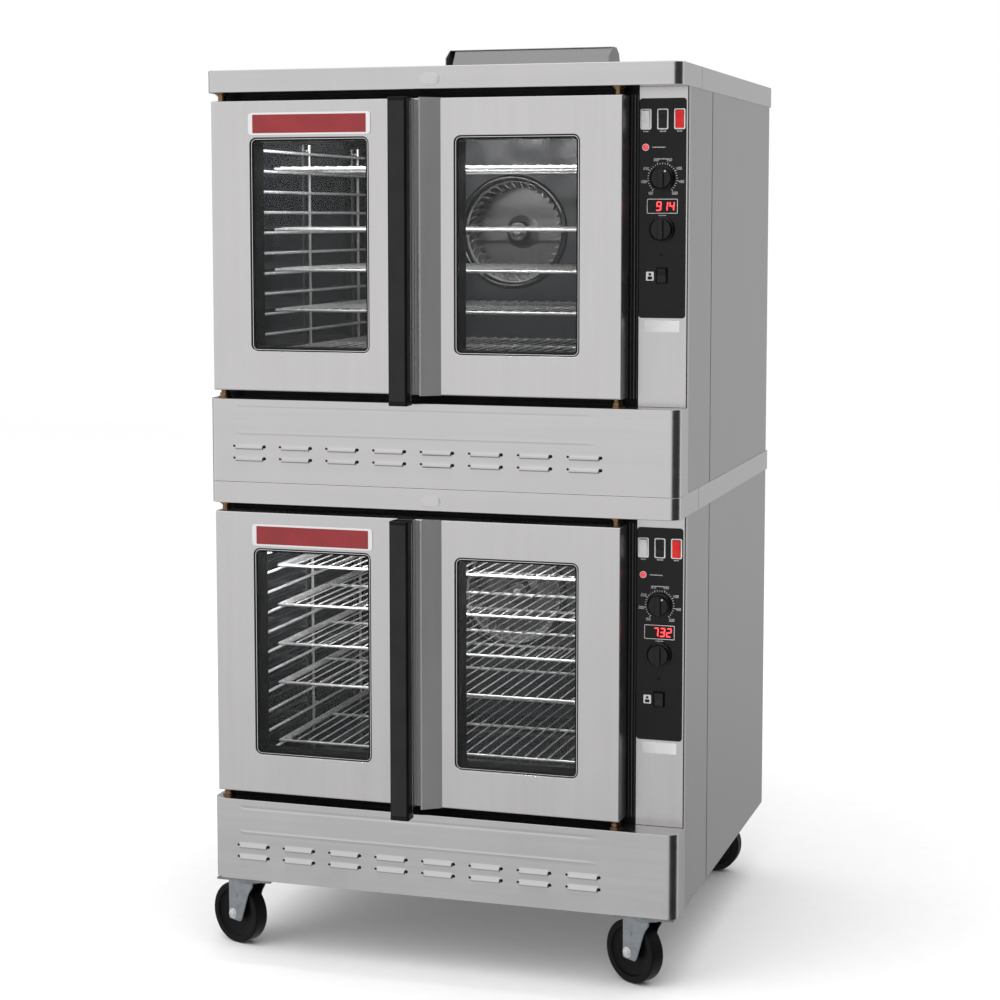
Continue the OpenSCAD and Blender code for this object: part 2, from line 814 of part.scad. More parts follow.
module hinge_bushings() {
    low = bracket_z0 - 2;
    high = top_bracket_z0 + bracket_t + 2;
    color("goldenrod") each_oven() for (x = [-1, 1]) at_hinge(x, 0) {
        difference() {
            union() {
                translate([0, 0, low]) cylinder(r = bush_r - run_fit, h = cover_h - low);
                translate([0, 0, cover_h]) cylinder(r = bush_flange_r, h = bush_flange_t);
                translate([0, 0, cover_h]) cylinder(r = bush_r - 1.5, h = bush_flange_t + 7);
            }
            translate([0, 0, low - eps]) cylinder(r = hinge_pin_r + run_fit, h = 40);
        }
        difference() {
            union() {
                translate([0, 0, top_z]) cylinder(r = bush_r - run_fit, h = high - top_z);
                translate([0, 0, top_z - bush_flange_t]) cylinder(r = bush_flange_r, h = bush_flange_t);
                translate([0, 0, top_z - bush_flange_t - 3])
                    cylinder(r = bush_r - 1.5, h = bush_flange_t + 3);
            }
            translate([0, 0, top_z - 12]) cylinder(r = hinge_pin_r + run_fit, h = 40);
        }
    }
}

// A crossed chain: half turns round both sprockets, joined by two rods at two heights
module door_sync_chains() {
    mid_r = sprocket_r + chain_clear + chain_t / 2;
    cross = asin(mid_r / hinge_x);
    rod_r = 2.4;
    rod_l = 2 * sqrt(hinge_x * hinge_x - mid_r * mid_r) + 6;
    color("dimgray") each_oven() translate([doors_cx, hinge_depth, chain_z0]) {
        for (side = [0, 1]) mirror([side, 0, 0]) translate([-hinge_x, 0, 0]) rotate([0, 0, 90 - cross])
            rotate_extrude(angle = 180 + 2 * cross)
                translate([sprocket_r + chain_clear, 0]) square([chain_t, chain_h]);
        for (side = [0, 1]) mirror([side, 0, 0]) translate([0, 0, chain_h / 2 + (side - 0.5) * 6.4])
            rotate([0, 0, -cross]) {
            translate([-rod_l / 2, 0, 0]) along_x(rod_r, rod_l);
            translate([-rod_l / 4 - 30, 0, 0]) along_x(rod_r + 1.5, 60);
        }
    }
}

// --- Doors -------------------------------------------------------------------

module hinge_pin() {
    pin_z0 = chain_z0 + 1;
    pin_z1 = top_bracket_z0 + bracket_t + 1;
    translate([0, 0, pin_z0]) cylinder(r = hinge_pin_r, h = door_z0 - pin_z0 + 2);
    translate([0, 0, chain_z0 + (chain_h - sprocket_t) / 2]) cylinder(r = sprocket_r, h = sprocket_t);
    translate([0, 0, door_z1 - 2]) cylinder(r = hinge_pin_r, h = pin_z1 - door_z1 + 2);
}

// A door as seen when its hinge is on the left; its outer edge is at x = 0
module door_shell() {
    wx = door_w / 2 - window_shift;
    edge_r = 3;
    difference() {
        translate([0, 0, door_z0]) linear_extrude(door_h) union() {
            translate([0, edge_r]) square([door_w, door_t - edge_r]);
            translate([edge_r, 0]) square([door_w - 2 * edge_r, edge_r]);
            for (x = [edge_r, door_w - edge_r]) translate([x, edge_r]) circle(edge_r);
        }
        difference() {
            span([door_skin, door_skin, door_z0 + door_skin],
                [door_w - door_skin, door_t - door_skin, door_z1 - door_skin]);
            round_panel(wx, window_cz, 0, window_w + 2 * door_skin, window_h + 2 * door_skin,
                window_r + door_skin, door_t);
        }
        round_panel(wx, window_cz, -eps, window_w - 2 * pane_seat, window_h - 2 * pane_seat,
            window_r - pane_seat / 2, door_t + 2 * eps);
        round_panel(wx, window_cz, -eps, window_w, window_h, window_r, 2 * pane_t + eps);
        round_panel(wx, window_cz, door_t - 2 * pane_t, window_w, window_h, window_r, 2 * pane_t + eps);
    }
    translate([hinge_inset, hinge_depth, 0]) hinge_pin();
}

// The two panes of one window, each lying on its seat in the shell
module panes() {
    wx = door_w / 2 - window_shift;
    w = window_w - 2 * gap;
    h = window_h - 2 * gap;
    round_panel(wx, window_cz, pane_t, w, h, window_r - gap, pane_t);
    round_panel(wx, window_cz, door_t - 2 * pane_t, w, h, window_r - gap, pane_t);
}

module glass() {
    color([0.7, 0.8, 0.8, 0.4]) children();
}

module at_left_door(level) {
    in_oven(level) translate([doors_x0, 0, 0]) children();
}

module at_right_door(level) {
    in_oven(level) translate([doors_x1, 0, 0]) mirror([1, 0, 0]) children();
}

module door_left(level) {
    edge_x = doors_x0 + door_w;
    color("gainsboro") {
        at_left_door(level) door_shell();
        in_oven(level) translate([0, 0, door_z0]) linear_extrude(door_h) polygon([
            [grip_x1 - rail_w, 0], [grip_x1 - rail_w, -rail_out], [grip_x1 - 1, -rail_out],
            [grip_x1 - 1, -1], [edge_x - 1, -1], [edge_x - 1, 0], [edge_x - 3, 1], [grip_x1 - rail_w, 1]]);
    }
}

module door_right(level) {
    x0 = doors_cx + 24;
    color("gainsboro") {
        at_right_door(level) door_shell();
        in_oven(level) translate([0, 0, door_z0]) linear_extrude(door_h)
            polygon([[x0, 1], [x0, -wedge_out], [x0 + 3, -wedge_out], [x0 + 37, 0], [x0 + 37, 1]]);
    }
}

// The full-height grip: a round-edged bar with a cap at each end
module handle(level) {
    cap_h = 5;
    depth = grip_out + grip_y1;
    cx = grip_x1 - grip_w / 2;
    cy = -grip_out + depth / 2;
    z0 = door_z0 - grip_drop;
    r = 7;
    color([0.05, 0.05, 0.05]) in_oven(level) {
        translate([cx, cy, z0]) linear_extrude(door_z1 - z0 - 1) round_rect(grip_w - 1, depth - 1, r - 0.5);
        for (z = [z0 - 3, door_z1 - cap_h])
            translate([cx, cy, z]) linear_extrude(cap_h) round_rect(grip_w, depth, r);
        span([cx - 8, grip_y1 - 4, door_z0 + 40], [cx + 8, -rail_out, door_z1 - 40]);
    }
}

// --- Racks ---------------------------------------------------------------------

// A wire rack at rack position n
module rack(level, n) {
    x1 = rack_w / 2 - rail_r;
    y1 = rack_y0 + rack_d;
    pitch = 2 * (x1 - 14) / (thin_count - 1);
    color("silver") in_oven(level) translate([doors_cx, 0, rack_z0 + n * rack_pitch]) {
        for (y = [rack_y0, y1, rack_y0 + rack_d / 2]) translate([-x1, y, 0]) along_x(rail_r, 2 * x1);
        for (x = [-x1, x1]) translate([x, rack_y0, 0]) along_y(rail_r, rack_d);
        for (x = [-x1, x1], y = [rack_y0, y1]) translate([x, y, 0]) sphere(r = rail_r);
        for (i = [0:thin_count - 1])
            translate([-x1 + 14 + i * pitch, rack_y0 - 1, rail_r + wire_r - 0.8]) along_y(wire_r, rack_d + 2);
    }
}

// --- Flue ------------------------------------------------------------------------

module hood_end() {
    rotate([90, 0, 90]) linear_extrude(sheet) polygon(HOOD_EDGE);
}

module flue_hood() {
    color("gainsboro") {
        flue_duct(LOWER);
        flue_duct(UPPER);
    }
    color("gainsboro") from_front() translate([0, 0, base_z + 2 * section_h]) {
        translate([doors_cx - hood_w / 2, hood_y, 0]) hood_end();
        translate([doors_cx + hood_w / 2 - sheet, hood_y, 0]) hood_end();
        translate([doors_cx - hood_w / 2 + 1, hood_y, 0]) rotate([90, 0, 90])
            linear_extrude(hood_w - 2) difference() {
                polygon(HOOD_EDGE);
                polygon(HOOD_INNER);
            }
    }
}

// --- Casters -----------------------------------------------------------------------

// The outline of one fork leg, from the crown's top down round the axle
module fork_leg(top) {
    eye_r = 12;
    union() {
        polygon([[-trail - eye_r, top], [-trail - eye_r, wheel_r], [-trail, wheel_r - eye_r],
            [-trail + 22, wheel_r - 14], [18, top]]);
        translate([-trail, wheel_r]) circle(eye_r);
    }
}

// A fork as it stands with its wheel trailing towards -X, about its swivel axis
module fork() {
    inner = wheel_w / 2 + leg_gap;
    outer = inner + leg_t;
    crown_z = race_z - gap - crown_t;
    color("silver") difference() {
        union() {
            translate([0, 0, crown_z]) cylinder(r = race_r, h = crown_t);
            span([-trail - 10, -outer, crown_z], [0, outer, crown_z + crown_t]);
            for (y = [-outer, inner]) translate([0, y + leg_t, 0]) rotate([90, 0, 0])
                linear_extrude(leg_t) fork_leg(crown_z + crown_t);
            translate([-trail, -outer - axle_head, wheel_r]) along_y(axle_r, 2 * (outer + axle_head));
            for (y = [-outer - axle_head, outer])
                translate([-trail, y, wheel_r]) along_y(axle_r + 4, axle_head);
        }
        translate([0, 0, crown_z - eps]) cylinder(r = swivel_r + run_fit, h = crown_t + 2 * eps);
    }
}

// A wheel with a slim tread, a dished web and a hub that turns on the axle
module caster_wheel() {
    web_w = wheel_w - 12;
    hub_w = wheel_w + 3;
    color([0.05, 0.05, 0.05]) translate([-trail, 0, wheel_r]) rotate([90, 0, 0])
        rotate_extrude($fn = 96) difference() {
            union() {
                translate([axle_r + run_fit, -web_w / 2]) square([wheel_r - 8 - axle_r, web_w]);
                translate([axle_r + run_fit, -hub_w / 2]) square([11, hub_w]);
                translate([wheel_r - 16, -wheel_w / 2]) square([16 - tread_r, wheel_w]);
                translate([wheel_r - tread_r, -wheel_w / 2 + tread_r]) square([tread_r, wheel_w - 2 * tread_r]);
                for (y = [-1, 1]) translate([wheel_r - tread_r, y * (wheel_w / 2 - tread_r)]) circle(tread_r);
            }
        }
}

module at_caster(x, y, turn) {
    from_front() translate([x, y, 0]) rotate([0, 0, turn]) children();
}

// --- Output --------------------------------------------------------------------------

base_frame();
side_panels();
back_and_floor_pans();
top_trims();
front_frames();
oven_liners();
insulation();
rack_guides();
fan_baffles();
blower_motors();
gas_burners();
louvre_covers();
control_fascias();
control_faceplates();
displays_and_lamps();
hinge_bushings();
flue_hood();
door_sync_chains();
rack(UPPER, RACKS_UPPER[0]);  // rack_upper_1
rack(UPPER, RACKS_UPPER[1]);  // rack_upper_2
rack(UPPER, RACKS_UPPER[2]);  // rack_upper_3
rack(UPPER, RACKS_UPPER[3]);  // rack_upper_4
rack(UPPER, RACKS_UPPER[4]);  // rack_upper_5
rack(LOWER, RACKS_LOWER[0]);  // rack_lower_1
rack(LOWER, RACKS_LOWER[1]);  // rack_lower_2
rack(LOWER, RACKS_LOWER[2]);  // rack_lower_3
rack(LOWER, RACKS_LOWER[3]);  // rack_lower_4
rack(LOWER, RACKS_LOWER[4]);  // rack_lower_5
knob_at(UPPER, knob_cz, temp_knob_r);  // temp_knob_upper
knob_at(LOWER, knob_cz, temp_knob_r);  // temp_knob_lower
knob_at(UPPER, timer_cz, timer_knob_r);  // timer_knob_upper
knob_at(LOWER, timer_cz, timer_knob_r);  // timer_knob_lower
top_rocker(UPPER, -1, "white");  // light_switch_upper
top_rocker(LOWER, -1, "white");  // light_switch_lower
top_rocker(UPPER, 0, "black");  // mode_switch_upper
top_rocker(LOWER, 0, "black");  // mode_switch_lower
top_rocker(UPPER, 1, "firebrick");  // power_switch_upper
top_rocker(LOWER, 1, "firebrick");  // power_switch_lower
low_rocker(UPPER);  // fan_switch_upper
low_rocker(LOWER);  // fan_switch_lower
in_oven(UPPER) blower_wheel();  // blower_wheel_upper
in_oven(LOWER) blower_wheel();  // blower_wheel_lower
at_caster(-caster_x, caster_front_y, TURN_FL) fork();  // caster_fork_fl
at_caster(caster_x, caster_front_y, TURN_FR) fork();  // caster_fork_fr
at_caster(-caster_x, caster_rear_y, TURN_RL) fork();  // caster_fork_rl
at_caster(caster_x, caster_rear_y, TURN_RR) fork();  // caster_fork_rr
at_caster(-caster_x, caster_front_y, TURN_FL) caster_wheel();  // caster_wheel_fl
at_caster(caster_x, caster_front_y, TURN_FR) caster_wheel();  // caster_wheel_fr
at_caster(-caster_x, caster_rear_y, TURN_RL) caster_wheel();  // caster_wheel_rl
at_caster(caster_x, caster_rear_y, TURN_RR) caster_wheel();  // caster_wheel_rr
door_left(UPPER);  // door_left_upper
door_left(LOWER);  // door_left_lower
door_right(UPPER);  // door_right_upper
door_right(LOWER);  // door_right_lower
glass() at_left_door(UPPER) panes();  // door_window_left_upper
glass() at_left_door(LOWER) panes();  // door_window_left_lower
glass() at_right_door(UPPER) panes();  // door_window_right_upper
glass() at_right_door(LOWER) panes();  // door_window_right_lower
handle(UPPER);  // handle_upper
handle(LOWER);  // handle_lower
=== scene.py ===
"""Looks of the double-stacked convection oven: its surfaces, finishes, studio and camera.

Sizes are in millimetres from the door fronts' plane: x from the ovens' middle, y towards the back,
z up from the floor, or from the base of one oven where a level is given. Shape.build turns them
into metres in the model's own frame.
"""

import logging
import math
from collections.abc import Sequence
from dataclasses import dataclass, field
from enum import Enum

import bpy
import numpy as np
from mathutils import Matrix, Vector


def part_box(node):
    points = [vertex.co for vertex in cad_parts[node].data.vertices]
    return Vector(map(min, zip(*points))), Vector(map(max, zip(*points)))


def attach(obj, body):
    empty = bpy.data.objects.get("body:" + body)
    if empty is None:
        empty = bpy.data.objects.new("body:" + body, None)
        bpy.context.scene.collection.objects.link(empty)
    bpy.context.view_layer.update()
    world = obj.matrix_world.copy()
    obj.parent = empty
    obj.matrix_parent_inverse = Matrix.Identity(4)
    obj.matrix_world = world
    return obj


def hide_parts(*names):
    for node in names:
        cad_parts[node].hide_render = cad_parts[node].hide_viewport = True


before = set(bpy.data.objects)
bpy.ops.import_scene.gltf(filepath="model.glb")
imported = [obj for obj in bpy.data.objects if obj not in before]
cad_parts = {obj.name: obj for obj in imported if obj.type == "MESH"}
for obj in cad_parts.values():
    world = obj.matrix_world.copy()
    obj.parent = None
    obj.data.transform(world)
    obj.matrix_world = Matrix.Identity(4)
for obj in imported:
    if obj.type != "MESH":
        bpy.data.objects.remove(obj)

Array = np.ndarray
Colour = tuple[float, float, float, float]

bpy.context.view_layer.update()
MM = 0.001
LOW, HIGH = (np.array(corner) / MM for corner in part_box("top_trims"))
ORIGIN = np.array([(LOW[0] + HIGH[0]) / 2, LOW[1], 0.0])

logging.basicConfig(level=logging.INFO, format="%(message)s")
log = logging.getLogger("oven")


class Axis(Enum):
    """Direction that an outline is carried along."""

    X = 0
    Y = 1
    Z = 2


class Level(Enum):
    """One of the two stacked ovens."""

    LOWER = 0
    UPPER = 1

    @property
    def label(self) -> str:
        """The level's name in pieces and bodies."""
        return self.name.lower()

    @property
    def base(self) -> float:
        """Height of the oven's underside above the floor."""
        return BODY.base + self.value * BODY.section


class Side(Enum):
    """Left or right, as seen from the front."""

    LEFT = -1
    RIGHT = 1

    @property
    def label(self) -> str:
        """The side's name in pieces and bodies."""
        return self.name.lower()


@dataclass(frozen=True)
class Body:
    """Sizes that several sub-assemblies share."""

    width: float = 972.0
    depth: float = 918.0
    section: float = 821.0
    base: float = 150.0
    trim_z: float = 777.0
    corner: float = 24.0
    sheet: float = 2.0
    doors_cx: float = -51.0
    door_w: float = 421.0
    door_t: float = 56.0
    door_z0: float = 184.0
    door_z1: float = 760.0
    door_gap: float = 3.0
    hinge_x: float = 409.0
    hinge_y: float = 25.0
    pin_r: float = 8.0
    frame_y: float = 61.0
    plate_cx: float = 435.5
    plate_y: float = 57.5


BODY = Body()


# --- Computed surfaces -----------------------------------------------------------------


def round_rect(w: float, h: float, r: float, steps: int = 6, centre: tuple[float, float] = (0.0, 0.0)) -> Array:
    """Outline of a rectangle with round corners.

    Each corner is a quarter circle about a centre set in by the radius: centre + r (cos t, sin t).

    Args:
        w: Width.
        h: Height.
        r: Corner radius.
        steps: Facets of one quarter circle.
        centre: Middle of the rectangle.

    Returns:
        Points of shape (4 * (steps + 1), 2), counter-clockwise.
    """
    r = max(r, 1e-3)
    turn = np.arange(4)[:, None] * np.pi / 2 + np.linspace(0, np.pi / 2, steps + 1)
    sx, sy = np.array([1, -1, -1, 1])[:, None], np.array([1, 1, -1, -1])[:, None]
    x = centre[0] + sx * (w / 2 - r) + r * np.cos(turn)
    y = centre[1] + sy * (h / 2 - r) + r * np.sin(turn)
    return np.stack([x.ravel(), y.ravel()], -1)


def eased(corners: Sequence[Sequence[float]], r: float, steps: int = 4) -> Array:
    """Polygon whose corners are cut back by r along both edges and bridged by a parabola.

    The bridge is (1-s)^2 A + 2 s (1-s) C + s^2 B with the corner C as its control point.

    Args:
        corners: The polygon's corners.
        r: Length cut from each edge at a corner.
        steps: Facets of one bridge.

    Returns:
        Points of shape (corners * (steps + 1), 2).
    """
    c = np.array(corners, float)
    back, on = np.roll(c, 1, 0) - c, np.roll(c, -1, 0) - c
    length = np.stack([np.linalg.norm(back, axis=1), np.linalg.norm(on, axis=1)])
    cut = np.minimum(r, 0.45 * length.min(0))[:, None]
    a = c + back / length[0][:, None] * cut
    b = c + on / length[1][:, None] * cut
    s = np.linspace(0, 1, steps + 1)[None, :, None]
    return ((1 - s) ** 2 * a[:, None] + 2 * s * (1 - s) * c[:, None] + s**2 * b[:, None]).reshape(-1, 2)


def inset(outline: Array, distance: float) -> Array:
    """Outline moved inwards.

    Each corner slides along (n0 + n1) / (1 + n0 . n1), the mitre of its edges' normals.

    Args:
        outline: Points of shape (n, 2).
        distance: How far both edges move.

    Returns:
        The moved outline.
    """
    before, after = outline - np.roll(outline, 1, 0), np.roll(outline, -1, 0) - outline
    n0 = np.stack([-before[:, 1], before[:, 0]], -1) / np.linalg.norm(before, axis=1)[:, None]
    n1 = np.stack([-after[:, 1], after[:, 0]], -1) / np.linalg.norm(after, axis=1)[:, None]
    x, y = outline.T
    turn = np.sign(np.sum(x * np.roll(y, -1) - np.roll(x, -1) * y))
    return outline + turn * distance * (n0 + n1) / (1 + np.sum(n0 * n1, 1))[:, None]


def shell_plan(w: float, y0: float, y1: float, r: float, steps: int = 10) -> Array:
    """Plan of a sheet body: square corners at the back and quarter circles at both front corners.

    Args:
        w: Width.
        y0: Depth of the front face.
        y1: Depth of the back.
        r: Radius of the front corners.
        steps: Facets of one quarter circle.

    Returns:
        Points of shape (n, 2), counter-clockwise from the left rear corner.
    """
    left = np.pi + np.linspace(0, np.pi / 2, steps + 1)
    right = 1.5 * np.pi + np.linspace(0, np.pi / 2, steps + 1)
    arc_l = np.stack([-w / 2 + r + r * np.cos(left), y0 + r + r * np.sin(left)], -1)
    arc_r = np.stack([w / 2 - r + r * np.cos(right), y0 + r + r * np.sin(right)], -1)
    return np.concatenate([[[-w / 2, y1]], arc_l, arc_r, [[w / 2, y1]]])


def on_axis(axis: Axis, outline: Array, depth: float) -> Array:
    """Stands a flat outline square to an axis.

    Args:
        axis: The axis; the outline's two columns are the other two coordinates in order.
        outline: Points of shape (n, 2).
        depth: Place along the axis.

    Returns:
        Points of shape (n, 3).
    """
    return np.insert(outline, axis.value, depth, axis=1)


def turn_about(axis: Axis, degrees: float) -> Array:
    """Rotation matrix about an axis.

    Args:
        axis: The axis.
        degrees: How far to turn.

    Returns:
        A matrix of shape (3, 3).
    """
    c, s = math.cos(math.radians(degrees)), math.sin(math.radians(degrees))
    i, j = (axis.value + 1) % 3, (axis.value + 2) % 3
    matrix = np.eye(3)
    matrix[i, i], matrix[i, j], matrix[j, i], matrix[j, j] = c, -s, s, c
    return matrix


class Shape:
    """A mesh gathered from closed surfaces, in millimetres."""

    def __init__(self) -> None:
        """Starts an empty mesh."""
        self.points: list[Array] = []
        self.faces: list[Array] = []
        self.marks: list[Array] = []
        self.count = 0

    def add(self, points: Array, faces: Sequence[Array], marks: Sequence[Array]) -> None:
        """Takes one closed surface and turns it outwards by the sign of its volume.

        Args:
            points: Vertices of shape (n, 3).
            faces: Arrays of faces, each with one corner count.
            marks: Finish number of each face, one array for each array of faces.
        """
        middle = points - points.mean(0)
        volume = 0.0
        for face in faces:
            corner = middle[face]
            volume += np.einsum("fc,fkc->", corner[:, 0], np.cross(corner[:, 1:-1], corner[:, 2:]))
        for face, mark in zip(faces, marks):
            self.faces.append((face if volume >= 0 else face[:, ::-1]) + self.count)
            self.marks.append(mark)
        self.points.append(points)
        self.count += len(points)

    def loft(self, rings: Array, mark: int | Array = 0, closed: bool = False) -> "Shape":
        """Joins rings by quads; its end rings get flat faces, or meet each other when it is closed.

        Args:
            rings: Points of shape (k, n, 3), each ring closed on itself.
            mark: Finish number, or one for each band between two rings.
            closed: True where the last ring joins the first.

        Returns:
            This shape.
        """
        k, n, _ = rings.shape
        index = np.arange(k * n).reshape(k, n)
        a = index if closed else index[:-1]
        b = np.roll(index, -1, 0) if closed else index[1:]
        quads = np.stack([a, np.roll(a, -1, 1), np.roll(b, -1, 1), b], -1).reshape(-1, 4)
        bands = np.repeat(np.broadcast_to(mark, len(a)), n)
        faces, marks = [quads], [bands]
        if not closed:
            faces += [index[:1, ::-1], index[-1:]]
            marks += [bands[:1], bands[-1:]]
        self.add(rings.reshape(-1, 3), faces, marks)
        return self

    def prism(
        self, outline: Array, axis: Axis, low: float, high: float, edge: float = 0.5, mark: int = 0,
        steps: int = 3,
    ) -> "Shape":
        """Carries an outline along an axis and rounds its two end edges.

        Near an end the outline is set in by e (1 - sin t) at depth e (1 - cos t), a quarter circle.

        Args:
            outline: Points of shape (n, 2).
            axis: Direction to carry it.
            low: Where it starts.
            high: Where it ends.
            edge: Radius of the end edges.
            mark: Finish number.
            steps: Facets of one rounded edge.

        Returns:
            This shape.
        """
        turn = np.linspace(0, np.pi / 2, steps + 1)
        depth, move = edge * (1 - np.cos(turn)), edge * (1 - np.sin(turn))
        rings = [on_axis(axis, inset(outline, m), low + d) for d, m in zip(depth, move)]
        rings += [on_axis(axis, inset(outline, m), high - d) for d, m in zip(depth[::-1], move[::-1])]
        return self.loft(np.array(rings), mark)

    def block(self, low: Sequence[float], high: Sequence[float], edge: float = 0.5, mark: int = 0) -> "Shape":
        """A block with rounded edges: a round-cornered outline carried along its longest side.

        Args:
            low: Lowest corner.
            high: Highest corner.
            edge: Radius of the edges.
            mark: Finish number.

        Returns:
            This shape.
        """
        a, b = np.minimum(low, high), np.maximum(low, high)
        axis = Axis(int(np.argmax(b - a)))
        size, centre = np.delete(b - a, axis.value), np.delete((a + b) / 2, axis.value)
        outline = round_rect(size[0], size[1], edge, 3, (centre[0], centre[1]))
        return self.prism(outline, axis, a[axis.value], b[axis.value], min(edge, 0.49 * min(size)), mark)

    def ring(self, outlines: Sequence[tuple[Array, float]], axis: Axis, mark: int | Array = 0) -> "Shape":
        """A frame: outlines at their depths, in order round the frame's section, joined end to end.

        Args:
            outlines: Pairs of an outline and its depth.
            axis: Direction of the depths.
            mark: Finish number, or one for each band.

        Returns:
            This shape.
        """
        return self.loft(np.array([on_axis(axis, o, d) for o, d in outlines]), mark, closed=True)

    def lathe(
        self, profile: Sequence[Sequence[float]], axis: Axis, centre: Sequence[float], mark: int | Array = 0,
        around: int = 48, closed: bool = False,
    ) -> "Shape":
        """Turns a profile about an axis: the point (h, r) becomes h along it and r (cos t, sin t) across it.

        Args:
            profile: Pairs of height and radius.
            axis: Axis to turn about.
            centre: A point on the axis, where heights are counted from.
            mark: Finish number, or one for each band.
            around: Facets round the axis.
            closed: True for a tyre-like shape whose profile closes on itself.

        Returns:
            This shape.
        """
        turn = np.linspace(0, 2 * np.pi, around, endpoint=False)
        circle = np.stack([np.cos(turn), np.sin(turn)], -1)
        rings = np.array([on_axis(axis, circle * max(r, 1e-3), h) for h, r in profile])
        return self.loft(rings + np.array(centre, float), mark, closed)

    def tube(self, path: Array, r: float, around: int = 12, mark: int = 0) -> "Shape":
        """A round bar along a path: each ring stands square to the path's direction.

        Args:
            path: Points of shape (k, 3).
            r: Radius.
            around: Facets round the bar.
            mark: Finish number.

        Returns:
            This shape.
        """
        along = np.gradient(path, axis=0)
        along /= np.linalg.norm(along, axis=1)[:, None]
        spread = np.ptp(path, axis=0)
        across = np.broadcast_to(np.eye(3)[int(np.argmin(spread))], along.shape)
        u = np.cross(along, across)
        u /= np.linalg.norm(u, axis=1)[:, None]
        v = np.cross(along, u)
        turn = np.linspace(0, 2 * np.pi, around, endpoint=False)[None, :, None]
        rings = path[:, None] + r * (np.cos(turn) * u[:, None] + np.sin(turn) * v[:, None])
        return self.loft(rings, mark)

    def take(self, other: "Shape", matrix: Array | None = None, offset: Sequence[float] = (0, 0, 0)) -> "Shape":
        """Adds another shape, turned by a matrix and then moved.

        Args:
            other: The shape to add.
            matrix: Rotation of shape (3, 3), or none.
            offset: How far it moves.

        Returns:
            This shape.
        """
        matrix = np.eye(3) if matrix is None else matrix
        self.points += [points @ matrix.T + np.array(offset, float) for points in other.points]
        self.faces += [face + self.count for face in other.faces]
        self.marks += other.marks
        self.count += other.count
        return self

    def build(self, name: str) -> bpy.types.Object:
        """Makes the Blender object, in metres in the model's frame.

        Args:
            name: The object's name.

        Returns:
            An object at the origin with its place in its mesh.
        """
        points = (np.concatenate(self.points) + ORIGIN) * MM
        sizes = np.concatenate([np.full(len(face), face.shape[1]) for face in self.faces])
        corners = np.concatenate([face.ravel() for face in self.faces])
        mesh = bpy.data.meshes.new(name)
        mesh.vertices.add(len(points))
        mesh.vertices.foreach_set("co", points.astype(np.float32).ravel())
        mesh.loops.add(len(corners))
        mesh.loops.foreach_set("vertex_index", corners.astype(np.int32))
        mesh.polygons.add(len(sizes))
        mesh.polygons.foreach_set("loop_start", np.concatenate([[0], np.cumsum(sizes)[:-1]]).astype(np.int32))
        mesh.polygons.foreach_set("material_index", np.concatenate(self.marks).astype(np.int32))
        mesh.update(calc_edges=True)
        mesh.validate()
        mesh.shade_smooth()
        mesh.set_sharp_from_angle(angle=math.radians(40))
        made = bpy.data.objects.new(name, mesh)
        bpy.context.scene.collection.objects.link(made)
        flat = made.modifiers.new("flat_faces", "WEIGHTED_NORMAL")
        flat.mode, flat.weight, flat.keep_sharp = "FACE_AREA", 80, True
        return made


# --- Finishes --------------------------------------------------------------------------


